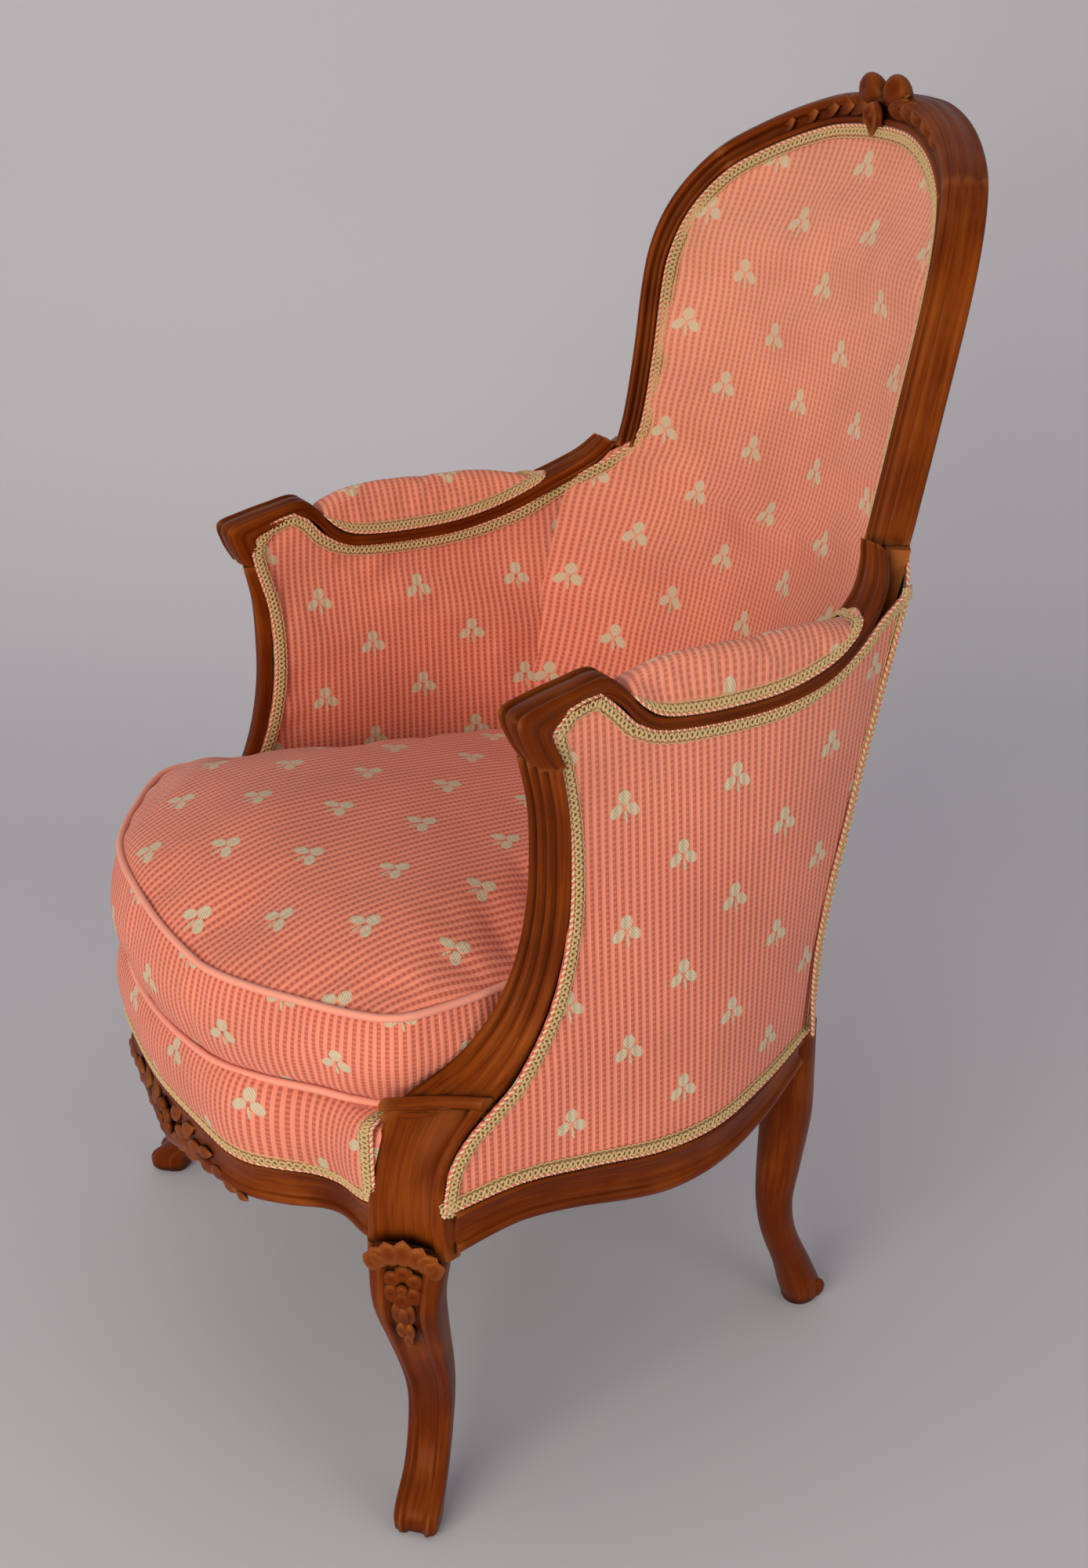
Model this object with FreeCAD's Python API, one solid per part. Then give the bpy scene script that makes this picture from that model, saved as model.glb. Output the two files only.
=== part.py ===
import FreeCAD, Part
import math
import os

# Bergere armchair: a moulded beech frame with a barrel back, stuffed-over seat and arms,
# and a loose box cushion. Millimetres; the chair faces -Y, +Z is up and the floor is z = 0.
# Right and left are as seen by someone who looks at the front, so right-hand pieces have
# x > 0. They are drawn, and their left-hand twins are mirrored.

Vector = FreeCAD.Vector

# Clearances
fit_gap = 0.3
lift_gap = 2.0

# Thicknesses of the soft layers
cloth = 1.6
hessian = 1.0
webbing = 1.6
gimp_thick = 1.5
cover_depth = 2.6
arm_cover_depth = 2.2
gimp_wide = 12.0
strap_wide = 52.0

# Seat
seat_line = 288.0
rail_thick = 27.0
rail_tongue = 16.0
tongue_setback = 8.0
front_reach = 361.0
front_bow = 71.0
front_half = 236.0
side_half = 298.0
side_taper = 70.0
seat_pad_top = 352.0

# Legs
leg_spread_front = 276.0
leg_forward = 270.0
leg_spread_rear = 203.0
leg_back = 147.0
block_top = 366.0

# Back
arm_line = 667.0
back_centre = 244.4
back_lean = 0.216
barrel_radius = 252.0
back_step = 10.0
waist_half = 170.0
shoulder_half = 175.0
crest_height = 993.0
crest_joint = 950.0
frame_depth = 34.0
frame_face = 15.0
crest_face = 22.0
frame_tongue = 8.0
tongue_front = 14.5
tongue_back = 24.0
back_crown = 24.0
swell_run = 120.0
post_foot = 296.0
stile_foot = 700.0
post_thick = 19.0
post_wide = 26.0

# Arms
arm_half = 17.0
arm_dip = 634.0
arm_peak = 673.0
arm_out = 277.0
arm_crown = 12.0
pad_top = 675.0
pad_half = 16.0
pad_base = -1.3
pad_centre = 20.0
stump_top = 618.0
stump_depth = 30.0

# Cushion
cushion_bottom = seat_pad_top + cloth + 2 * fit_gap
cushion_thick = 72.0
cushion_crown = 26.0
cushion_front = 364.0
cushion_half = 235.0
cushion_rear_half = 158.0
cushion_back = 142.0
piping = 6.0

# Where the frame's origin lies along the depth, under the middle of the whole box
centre_shift = 7.2


def line_through(pairs):
    """A smooth line through (position, size) pairs, read back at any position."""
    curve = Part.BSplineCurve()
    points = [Vector(at, size, 0) for at, size in pairs]
    curve.interpolate(Points=points, Parameters=[float(at) for at, size in pairs])
    first, last = pairs[0][0], pairs[-1][0]
    return lambda at: curve.value(min(max(at, first), last)).y


def loft(sections, ruled=False):
    """A solid through closed sections that have the same number of corners."""
    wires = [Part.makePolygon(points + points[:1]) for points in sections]
    return Part.makeLoft(wires, True, ruled)


def mirrored(shape):
    return shape.mirror(Vector(0, 0, 0), Vector(1, 0, 0))


def spaced(first, last, count):
    return [first + (last - first) * i / (count - 1) for i in range(count)]


def biggest(shape):
    """The largest solid of a shape, without slivers that a cut leaves."""
    return max(shape.Solids, key=lambda solid: solid.Volume)


def smooth_wire(sides):
    """A closed wire of smooth sides; each side is a list of points, and sides share corners."""
    edges = []
    for points in sides:
        if len(points) == 2:
            edges.append(Part.makeLine(points[0], points[1]))
            continue
        curve = Part.BSplineCurve()
        curve.interpolate(points)
        edges.append(curve.toShape())
    return Part.Wire(edges)


def slab(point, first, second, near, far):
    """A layer over a grid of two coordinates: point(a, b, depth function) at two depths."""
    faces = []
    surfaces = []
    for depth in (near, far):
        grid = [[point(a, b, depth(a, b)) for b in second] for a in first]
        surface = Part.BSplineSurface()
        surface.interpolate(grid)
        surfaces.append(surface)
        faces.append(surface.toShape())
    for pick in (0, 1):
        bounds = surfaces[0].bounds()
        for end in (bounds[2 * pick], bounds[2 * pick + 1]):
            lines = [s.uIso(end) if pick == 0 else s.vIso(end) for s in surfaces]
            faces.append(Part.makeRuledSurface(lines[0].toShape(), lines[1].toShape()))
    shell = Part.makeShell(faces)
    shell.sewShape()
    solid = Part.makeSolid(shell)
    if solid.Volume < 0:
        solid.reverse()
    return solid


# Front edge of the seat rail in plan, and its visible top and bottom edges in height
front_plan = line_through([
    (-front_half - 14, -front_reach + front_bow + 6),
    (-front_half, -front_reach + front_bow),
    (-205, -front_reach + 0.95 * front_bow),
    (-181, -front_reach + 0.80 * front_bow),
    (-160, -front_reach + 0.53 * front_bow),
    (-137, -front_reach + 0.28 * front_bow),
    (-106, -front_reach + 0.14 * front_bow),
    (0, -front_reach),
    (106, -front_reach + 0.14 * front_bow),
    (137, -front_reach + 0.28 * front_bow),
    (160, -front_reach + 0.53 * front_bow),
    (181, -front_reach + 0.80 * front_bow),
    (205, -front_reach + 0.95 * front_bow),
    (front_half, -front_reach + front_bow),
    (front_half + 14, -front_reach + front_bow + 6),
])
front_top = line_through([
    (0, seat_line - 9), (60, seat_line - 9), (129, seat_line - 12),
    (180, seat_line - 9), (221, seat_line - 5), (front_half + 20, seat_line),
])
front_bottom = line_through([
    (0, seat_line - 68), (25, seat_line - 60), (45, seat_line - 53), (82, seat_line - 51),
    (122, seat_line - 46), (167, seat_line - 43), (200, seat_line - 37),
    (front_half + 20, seat_line - 36),
])

# Side seat rail in plan and in height
side_plan = line_through([
    (-260, side_half - 8), (-190, side_half - 5), (-130, side_half - 2), (-68, side_half),
    (-11, side_half - 8), (45, side_half - 0.42 * side_taper),
    (90, side_half - 0.76 * side_taper), (118, side_half - side_taper),
    (150, side_half - 1.24 * side_taper),
])
side_top = line_through([
    (-260, seat_line), (-190, seat_line + 10), (-130, seat_line + 6), (-68, seat_line),
    (-11, seat_line), (50, seat_line + 6), (118, seat_line + 10), (150, seat_line + 12),
])
side_bottom = line_through([
    (-260, seat_line - 40), (-217, seat_line - 28), (-187, seat_line - 23),
    (-145, seat_line - 26), (-100, seat_line - 34), (-55, seat_line - 39),
    (5, seat_line - 35), (60, seat_line - 26), (100, seat_line - 18), (150, seat_line - 14),
])


# Barrel back: the front face of its frame
back_middle = line_through([
    (290, back_centre - 66), (350, back_centre - 70), (400, back_centre - 66.5),
    (500, back_centre + back_lean * (500 - arm_line) - back_step),
    (600, back_centre + back_lean * (600 - arm_line) - 0.8 * back_step),
    (660, back_centre + back_lean * (660 - arm_line) - 0.4 * back_step),
    (720, back_centre + back_lean * (720 - arm_line)),
    (860, back_centre + back_lean * (860 - arm_line)),
    (1040, back_centre + back_lean * (1040 - arm_line)),
])


def on_back(half, height, depth=0.0):
    """A point of the back; depth goes to the rear from the frame's face, square to the barrel."""
    slope = half / barrel_radius
    length = math.hypot(slope, 1)
    y = back_middle(height) - half * half / (2 * barrel_radius)
    return Vector(half + depth * slope / length, y + depth / length, height)


# Inner edge of the back frame, from the arm joint to the middle of the crest, as a curve of
# (half width, height)
opening_points = [
    (waist_half + 1, stile_foot), (waist_half, 735), (waist_half + 2, 790), (shoulder_half, 840),
    (shoulder_half, 870), (shoulder_half - 6, 900), (shoulder_half - 18, 926),
    (shoulder_half - 37, crest_height - 44), (shoulder_half - 62, crest_height - 28),
    (shoulder_half - 92, crest_height - 14), (shoulder_half - 124, crest_height - 4),
    (shoulder_half - 150, crest_height - 1), (0, crest_height),
]
opening = Part.BSplineCurve()
opening.interpolate([Vector(half, 0, height) for half, height in opening_points])
opening_end = opening.LastParameter


def frame_edge(at):
    """Inner edge point, outward direction and face width of the back frame at a share 0 to 1."""
    point = opening.value(at * opening_end)
    along = opening.tangent(at * opening_end)[0]
    outward = Vector(along.z, 0, -along.x)
    rise = max(0.0, min(1.0, (point.z - 860) / (crest_height - 860)))
    return point, outward, frame_face + (crest_face - frame_face) * rise


def share_at_height(height):
    """The share of the opening's curve at which it reaches a height."""
    low, high = 0.0, 1.0
    for _ in range(40):
        middle = (low + high) / 2
        if opening.value(middle * opening_end).z < height:
            low = middle
        else:
            high = middle
    return low


# Moulded section of the back frame: (across the face, 0 inner to 1 outer; depth to the rear),
# with a bead on each front edge, a cove between, a hollow outer side and a rabbet before and
# behind an inner tongue
frame_section = [
    (0.0, 0.6), (0.16, -0.8), (0.34, 1.6), (0.62, 2.2), (0.84, -0.6), (1.0, 1.4),
    (1.1, 12.0), (0.98, 24.0), (1.0, frame_depth - 2), (0.86, frame_depth),
    (0.0, frame_depth), (0.0, tongue_back + 0.2), (-1.0, tongue_back),
    (-1.0, tongue_front), (0.0, tongue_front - 0.2),
]


def frame_station(at, side=1):
    """One flat section of the back frame at a share of the opening's curve."""
    edge, outward, face = frame_edge(at)
    start = on_back(edge.x, edge.z)
    across = on_back(edge.x + outward.x * face, edge.z + outward.z * face) - start
    rear = (on_back(edge.x, edge.z, 1) - start).normalize()
    points = []
    for share, depth in frame_section:
        step = share if share >= 0 else share * frame_tongue / face
        place = start + across * step + rear * depth
        points.append(Vector(side * place.x, place.y, place.z))
    return points


def crest_rail():
    """The arched top rail of the back, from joint to joint."""
    joint = share_at_height(crest_joint)
    shares = spaced(joint, 1.0, 6)
    right = [frame_station(at) for at in shares[:-1]]
    middle = [frame_station(1.0)]
    left = [frame_station(at, -1) for at in reversed(shares[:-1])]
    return loft(right + middle + left)


def ring(count, turn=0.0):
    """Directions of a many-cornered round section."""
    return [(math.cos(2 * math.pi * i / count + turn), math.sin(2 * math.pi * i / count + turn))
            for i in range(count)]


def rear_post():
    """The rear leg with its back scroll foot, and the covered post up to the arm's joint."""
    # height, middle of the leg along the depth behind the foot, half thickness
    leg_line = [
        (0, 1, 13), (7, 3, 17), (21, 0, 18.5), (45, -9, 16.5), (83, -25, 15), (118, -31, 15.5),
        (157, -28, 18.5), (206, -23, 21.5), (245, -23, 22), (post_foot + 4, -21, 20),
    ]
    sections = []
    for height, back, half in leg_line:
        middle = Vector(leg_spread_rear - 3 * height / 300, leg_back + back, height)
        sections.append([middle + Vector(c * half * 1.05, s * half, 0) for c, s in ring(10)])
    leg = loft(sections)
    # the post is plain, because it is covered
    sections = []
    low = waist_half - 2
    for height in (post_foot, 350, 400, 500, 600, 660, stile_foot):
        grow = 0 if height < 640 else 1
        front = tongue_front + fit_gap
        corners = [(low, front), (low + post_wide, front),
                   (low + post_wide + grow, front + post_thick), (low, front + post_thick)]
        sections.append([on_back(half, height, depth) for half, depth in corners])
    return biggest(leg.fuse(loft(sections)))


def back_stile():
    """The moulded side of the back, from the post's joint to the top rail's."""
    joint = share_at_height(crest_joint)
    return loft([frame_station(at) for at in spaced(0.0, joint, 7)])


def front_leg():
    """The cabriole front leg with its knee, scroll toe and the square block at its top."""
    # height, place outwards along the diagonal, place across it, half depth, half width
    leg_line = [
        (0, 2, -1, 14, 14), (6, 3, -1, 18, 17), (20, 0, -1, 18, 18), (40, -20, -1.5, 14, 17),
        (66, -33, -2, 13.5, 17), (100, -36, -1, 14.5, 17.5), (130, -31, -1.5, 16.5, 19),
        (165, -23, -4.5, 20, 21.5), (205, -15, -8, 25, 25.5), (235, -17, -8, 27, 30),
        (258, -21, -8, 27, 34),
    ]
    outward = Vector(1, -1, 0).normalize()
    across = Vector(1, 1, 0).normalize()
    foot = Vector(leg_spread_front, -leg_forward, 0)
    # the front of each section has a middle ridge between two hollows
    shape = [(1.0, 0.0), (0.9, 0.3), (0.98, 0.62), (0.7, 1.0), (0.0, 1.0), (-0.75, 0.8),
             (-1.0, 0.3), (-1.0, -0.3), (-0.75, -0.8), (0.0, -1.0), (0.7, -1.0),
             (0.98, -0.62), (0.9, -0.3)]
    sections = []
    for height, out, off, deep, wide in leg_line:
        middle = foot + outward * out + across * off + Vector(0, 0, height)
        sections.append([middle + outward * d * deep + across * w * wide for d, w in shape])
    leg = loft(sections)
    # the block: a hollow diagonal face between two edges that rise to the arm stump
    block = [
        (250, (244, -292), (291, -250)), (seat_line + 2, (245, -291), (290, -254)),
        (330, (247, -284), (287, -246)), (block_top, (247, -275), (284, -214)),
    ]
    sections = [block_section(height, inner, outer) for height, inner, outer in block]
    return biggest(leg.fuse(loft(sections)).removeSplitter())


def block_section(height, inner, outer, deep=34.0):
    """Section between an inner and an outer front edge, with a hollow face and a rear tongue."""
    a = Vector(inner[0], inner[1], height)
    b = Vector(outer[0], outer[1], height)
    along = b - a
    back = Vector(-0.25, 1, 0).normalize()
    shape = [(0.0, 0.0), (0.1, -1.5), (0.2, 2.0), (0.5, 4.5), (0.8, 2.0), (0.9, -1.5),
             (1.0, 0.0), (1.0, 12.0), (0.86, 13.0), (0.8, deep), (0.2, deep), (0.14, 13.0),
             (0.0, 12.0)]
    return [a + along * u + back * v for u, v in shape]


# Front edges of the arm stump: height, y of the inner edge, y of the outer edge
stump_line = [
    (block_top, -275, -214), (376, -255, -198), (387, -229, -189), (402, -207, -179),
    (426, -186, -167), (460, -170, -156), (500, -161, -149), (540, -158.5, -147.5),
    (580, -160, -149), (stump_top, -168, -155),
]
stump_inner = line_through([(z, inner) for z, inner, outer in stump_line])
stump_outer = line_through([(z, outer) for z, inner, outer in stump_line])


def stump_section(height, inner_y, outer_y):
    """Reeded section of the arm stump, with a tongue behind for the arm's covers."""
    a = Vector(248, inner_y, height)
    b = Vector(283.5, outer_y, height)
    along = b - a
    back = Vector(-0.12, 1, 0).normalize()
    shape = [(0.0, 2.0), (0.1, -0.6), (0.2, 1.4), (0.35, -1.4), (0.5, 1.2), (0.65, -1.4),
             (0.8, 1.4), (0.9, -0.6), (1.0, 2.0), (1.0, 12.0), (0.78, 13.0),
             (0.72, stump_depth), (0.28, stump_depth), (0.22, 13.0), (0.0, 12.0)]
    return [a + along * u + back * v for u, v in shape]


def arm_stump():
    """The upright that sweeps down from the knuckle and forward to the leg's block."""
    return loft([stump_section(z, inner, outer) for z, inner, outer in stump_line])


# Arm: (y, z) of its underside, (y, z) of its top, middle x and half width, from the stump's
# top round the knuckle, over the peak and the dip to the back
arm_line_points = [
    ((-131, stump_top), (-167, stump_top), 265.8, 17.8),
    ((-134, 627), (-177, 636), 264, 18),
    ((-136, 634), (-181, 655), 262, 17.5),
    ((-134, 638), (-160, 663), 260.5, 16.5),
    ((-126, 642), (-134, arm_peak - 4), 260, 16),
    ((-113, 645), (-111, arm_peak), 259.5, 15.5),
    ((-100, 638), (-97, arm_peak - 8), 260, 16),
    ((-88, 625), (-84, 651), 260, arm_half),
    ((-70, 615), (-67, arm_dip + 5), 260, arm_half),
    ((-42, 611), (-40, arm_dip + 1), 260, arm_half),
    ((0, 609), (0, arm_dip), 259.5, arm_half),
    ((42, 611), (40, arm_dip + 2), 258, arm_half),
    ((80, 618), (75, arm_dip + 9), 254.5, arm_half),
    ((107, 628), (100, arm_dip + 18), 249, arm_half),
    ((132, 641), (124, arm_dip + 31), 240, arm_half),
    ((157, 656), (147, arm_dip + 44), 228, arm_half - 1),
    ((178, 674), (164, arm_dip + 58), 213, arm_half - 2),
    ((190, 694), (174, arm_dip + 74), 199, arm_half - 4),
]
# across -1 inner to 1 outer, share 0 underside to 1 top: a moulded band over a narrow tongue
arm_section = [
    (-0.55, 0.0), (0.55, 0.0), (0.6, 0.44), (1.0, 0.46), (1.04, 0.66), (0.98, 0.84),
    (0.78, 0.97), (0.5, 0.9), (0.22, 0.97), (-0.22, 0.97), (-0.5, 0.9), (-0.78, 0.97),
    (-0.98, 0.84), (-1.04, 0.66), (-1.0, 0.46), (-0.6, 0.44),
]


def arm(post, stile):
    """The arm rail with its scrolled knuckle, ending against the post and the stile."""
    sections = []
    for under, top, middle, half in arm_line_points:
        low = Vector(middle, under[0], under[1])
        rise = Vector(0, top[0] - under[0], top[1] - under[1])
        sections.append([low + rise * v + Vector(u * half, 0, 0) for u, v in arm_section])
    return biggest(loft(sections).cut(post).cut(stile))


def rail_sections(places, outward, plan_point, top, bottom):
    """Sections of a seat rail: a moulded face with a bottom bead and a tongue above."""
    shape = [
        (0.0, 1.0), (-1.6, 0.9), (1.4, 0.78), (2.4, 0.5), (0.8, 0.3), (-1.8, 0.2),
        (-1.2, 0.06), (2.0, 0.0), (rail_thick, 0.02),
    ]
    sections = []
    for at in places:
        foot = plan_point(at)
        normal = outward(at)
        low, high = bottom(at), top(at)
        points = [foot - normal * u + Vector(0, 0, low + (high - low) * v) for u, v in shape]
        for u, z in ((rail_thick, high + rail_tongue), (tongue_setback, high + rail_tongue),
                     (tongue_setback, high)):
            points.append(foot - normal * u + Vector(0, 0, z))
        sections.append(points)
    return sections


def plan_normal(point, at, step, side):
    """Outward direction in plan of a curve of points."""
    along = point(at + step) - point(at - step)
    return Vector(along.y * side, -along.x * side, 0).normalize()


def front_rail(legs):
    """The bowed front seat rail with a shaped lower edge."""
    def point(x):
        return Vector(x, front_plan(x), 0)
    places = [-front_half - 14, -front_half, -205, -181, -160, -137, -106, -60, -25, 0,
              25, 60, 106, 137, 160, 181, 205, front_half, front_half + 14]
    sections = rail_sections(places, lambda x: plan_normal(point, x, 0.5, 1), point,
                             lambda x: front_top(abs(x)), lambda x: front_bottom(abs(x)))
    return biggest(loft(sections).cut(legs))


def side_rail(front, rear):
    """The bowed right side seat rail with a shaped lower edge."""
    def point(y):
        return Vector(side_plan(y), y, 0)
    places = [-245, -217, -187, -145, -100, -55, -5, 45, 80, 112]
    sections = rail_sections(places, lambda y: plan_normal(point, y, 0.5, 1), point,
                             side_top, side_bottom)
    return biggest(loft(sections).cut(front).cut(rear))


def rear_rail(posts):
    """The curved rear seat rail between the posts."""
    front = tongue_front + fit_gap
    sections = []
    for half in spaced(-waist_half - 10, waist_half + 10, 9):
        corners = [(front, seat_line - 26), (front + 20, seat_line - 26),
                   (front + 20, seat_line + 14), (front, seat_line + 14)]
        sections.append([on_back(half, height, depth) for depth, height in corners])
    return biggest(loft(sections).cut(posts))


def back_lower_rail(posts):
    """The covered rail low in the back, to which the foot of the back's webbing is tacked."""
    front = tongue_front + fit_gap
    low, high = seat_pad_top + 40, seat_pad_top + 72
    sections = []
    for half in spaced(-waist_half - 6, waist_half + 6, 9):
        corners = [(front, low), (front + 18, low), (front + 18, high), (front, high)]
        sections.append([on_back(half, height, depth) for depth, height in corners])
    return biggest(loft(sections).cut(posts))


def corner_blocks(frame):
    """Four glue blocks in the inner corners of the seat frame."""
    blocks = []
    high = seat_line + 8
    for side in (1, -1):
        front = [(250, -196), (150, -296), (186, -290), (262, -236)]
        rear = [(200, 66), (218, 98), (176, 122), (138, 132)]
        for corners in (front, rear):
            points = [Vector(side * x, y, seat_line - 14) for x, y in corners]
            base = Part.Face(Part.makePolygon(points + points[:1]))
            block = base.extrude(Vector(0, 0, high - seat_line + 14))
            blocks.append(biggest(block.cut(frame)))
    return Part.makeCompound(blocks)


# Back upholstery
def opening_outline(depth, inset, low, low_half):
    """Closed outline, in the plane of x and z, of a panel that fills the back frame."""
    right = []
    for at in spaced(0.02, 1.0, 15):
        edge, outward, face = frame_edge(at)
        place = on_back(edge.x - outward.x * inset, edge.z - outward.z * inset, depth)
        right.append(Vector(place.x, 0, place.z))
    right[-1].x = 0
    flare = on_back(low_half, arm_line - 14, depth)
    foot = on_back(low_half - 8, low, depth)
    lower = [Vector(foot.x - inset, 0, low), Vector(flare.x - inset, 0, arm_line - 14),
             Vector(flare.x - 14 - inset, 0, arm_line + 6), right[0]]
    sides = [[lower[0], lower[1]], [lower[1], lower[2]], [lower[2], lower[3]], right]
    left = [[Vector(-p.x, 0, p.z) for p in reversed(side)] for side in reversed(sides)]
    base = [Vector(-lower[0].x, 0, low), lower[0]]
    return smooth_wire(sides + left + [base])


def prism(wire, start, reach):
    """A straight block of an outline, from start along reach."""
    block = Part.Face(wire).extrude(reach)
    block.translate(start)
    return block


half_width_at = line_through([(250, 196), (600, 196), (660, 190), (700, 174), (740, 172),
                              (860, 176), (900, 170), (930, 155), (960, 122), (985, 62),
                              (1000, 40)])


def back_swell(half, height):
    """How plump the back is, 0 at its edges and 1 in the middle."""
    share = min(1.0, abs(half) / half_width_at(height))
    top = min(1.0, max(0.0, (crest_height + 4 - height) / swell_run))
    return (1 - share ** 4) ** 2 * top * top * (3 - 2 * top)


back_halves = [-218, -205, -190, -165, -130, -85, 0, 85, 130, 165, 190, 205, 218]
back_heights = [300, 350, 400, 450, 520, 600, 680, 760, 840, 885, 920, 950, 975, 1006]


def back_layer(front, back, block, *cuts):
    """A layer of the back between two depths, within a block and clear of what cuts it."""
    layer = slab(on_back, back_halves, back_heights, front, back).common(block)
    for cut in cuts:
        layer = layer.cut(cut)
    return biggest(layer)


def back_prism(depth, inset, low, low_half):
    """A block to the rear over the outline of a back panel."""
    return prism(opening_outline(depth, inset, low, low_half), Vector(0, -100, 0),
                 Vector(0, 700, 0))


def plump(depth, crown=back_crown):
    """A depth that comes forward by the crown in the middle of the back."""
    return lambda half, height: depth - crown * back_swell(half, height)


def flat(depth):
    return lambda first, second: depth


def behind(depth):
    """A depth in the rear rabbet at the top, and behind the posts below the arms."""
    def place(half, height):
        share = min(1.0, max(0.0, (720 - height) / 60))
        return depth + 10 * share * share * (3 - 2 * share)
    return place


def back_straps():
    """Webbing of the back: upright straps behind, cross straps before them."""
    straps = []
    front = tongue_front - webbing - 2 * fit_gap
    for middle in (-112, -37, 37, 112):
        top = crest_height - 6 - 42 * (abs(middle) / 112) ** 2
        straps.append(slab(on_back, spaced(middle - strap_wide / 2, middle + strap_wide / 2, 4),
                           spaced(seat_pad_top + 44, top, 9), flat(front), flat(front + webbing)))
    near = front - webbing - 2 * fit_gap
    for height in (500, 640, 780, 890):
        reach = min(half_width_at(height + 26), half_width_at(height - 26)) - 3
        straps.append(slab(on_back, spaced(-reach, reach, 9), spaced(height - 26, height + 26, 4),
                           flat(near), flat(near + webbing)))
    return Part.makeCompound(straps)


# Arm upholstery, drawn on the right-hand side as x over y and z
arm_outer_x = line_through([
    (-260, arm_out + 5), (-180, arm_out + 3), (-110, arm_out), (-50, arm_out), (10, arm_out - 1),
    (50, arm_out - 3), (90, arm_out - 10), (130, arm_out - 22), (150, arm_out - 31),
    (200, arm_out - 52),
])
under_band = line_through([
    (-180, 640), (-150, 652), (-116, 661), (-104, 652), (-90, 636), (-70, 626), (-42, 622),
    (0, 620.5), (42, 622), (80, 629), (107, 638), (132, 652), (157, 667), (190, 690),
])
panel_front_y = line_through([
    (250, -259), (290, -254), (326, -247), (352, -229), (378, -196), (402, -179),
    (426, -167), (460, -156), (500, -149), (540, -147.5), (580, -149), (stump_top, -154),
    (642, -157), (654, -148), (662, -130),
])
panel_rear_y = line_through([
    (250, 138), (300, 131), (357, 127), (398, 128), (438, 134), (488, 146), (538, 155),
    (587, 167), (660, 184), (700, 193),
])


def outer_arm(y, z, depth):
    """A point of the outside arm; depth goes inwards."""
    share = min(1.15, max(-0.2, (z - seat_line) / (arm_dip - 12 - seat_line)))
    x = side_plan(y) * (1 - share) + arm_outer_x(y) * share
    return Vector(x - depth, y, z)


def inner_arm(y, z, depth):
    """A point of the inside arm; depth goes outwards."""
    share = min(1.15, max(-0.2, (z - seat_line) / (arm_dip - 12 - seat_line)))
    low = side_plan(y) - 51 - 8 * max(0.0, (y - 20) / 100)
    high = arm_outer_x(y) - 2 * arm_half
    return Vector(low * (1 - share) + high * share + depth, y, z)


def crossing(upright, level, y, z, up_inset, level_inset):
    """Where a line y(z) moved by one inset meets a line z(y) moved by another."""
    for _ in range(30):
        y = upright(z) + up_inset
        z = level(y) + level_inset
    return y, z


def arm_block(front, rear, top, bottom, inset):
    """A block along x over the outline, in the plane of y and z, of an arm panel."""
    corners = [
        crossing(front, bottom, -250, 300, inset, inset),
        crossing(rear, bottom, 130, 300, -inset, inset),
        crossing(rear, top, 170, 660, -inset, -inset),
        crossing(front, top, -130, 655, inset, -inset),
    ]
    (ya, za), (yb, zb), (yc, zc), (yd, zd) = corners
    bottom_side = [Vector(0, y, bottom(y) + inset) for y in spaced(ya, yb, 9)]
    rear_side = [Vector(0, rear(z) - inset, z) for z in spaced(zb, zc, 6)]
    top_side = [Vector(0, y, top(y) - inset) for y in spaced(yc, yd, 15)]
    front_side = [Vector(0, front(z) + inset, z) for z in spaced(zd, za, 12)]
    rear_side[0] = bottom_side[-1]
    top_side[0] = rear_side[-1]
    front_side[0] = top_side[-1]
    front_side[-1] = bottom_side[0]
    outline = smooth_wire([bottom_side, rear_side, top_side, front_side])
    return prism(outline, Vector(100, 0, 0), Vector(300, 0, 0))


def arm_layer(point, near, far, block, *cuts):
    """A layer of an arm between two depths, within a block and clear of what cuts it."""
    ys = [-275, -230, -190, -150, -110, -60, 0, 50, 90, 130, 165, 200]
    zs = [270, 310, 350, 400, 460, 530, 600, 650, 700]
    layer = slab(point, ys, zs, near, far).common(block)
    for cut in cuts:
        layer = layer.cut(cut)
    return biggest(layer)


def inner_front_y(z):
    """Front edge of the inside arm panel, behind the stump's inner edge."""
    return stump_inner(max(z, 387)) + 13


def inner_rear_y(z):
    """Rear edge of the inside arm panel, where it meets the inside back."""
    return on_back(196, z).y - 13


def arm_swell(y, z):
    """How plump the inside arm is, 0 at its edges and 1 in the middle."""
    along = min(1.0, abs(y + 10) / 145)
    rise = min(1.0, abs(z - 475) / 145)
    return (1 - along ** 4) ** 2 * (1 - rise ** 4) ** 2


def deck_line(y):
    return seat_pad_top - 34.0


def arm_pad(grow, base, drop=0.0):
    """Half-round pad on the arm, grown by a thickness; drop lowers its underside."""
    sections = []
    places = [(-93, 0.2), (-84, 0.62), (-66, 0.92), (-30, 1), (20, 1), (70, 0.98), (105, 0.8),
              (124, 0.5), (134, 0.15)]
    for place, share in places:
        y = pad_centre + (place - pad_centre) * (1 + (grow - cloth) / 57)
        middle = pad_middle(y)
        low = pad_seat(y) + base
        high = max(low + 4, low + (pad_top - cloth - fit_gap - low) * share) + grow
        half = pad_half - 2 + grow
        if share < 0.3:
            half *= 0.7
        shape = [(-1, 0), (-1.02, 0.3), (-0.8, 0.72), (-0.4, 0.96), (0, 1), (0.4, 0.96),
                 (0.8, 0.72), (1.02, 0.3), (1, 0)]
        sections.append([Vector(middle + u * half, y, low + (high - low) * v - drop * (v == 0))
                         for u, v in shape])
    return loft(sections)


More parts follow.
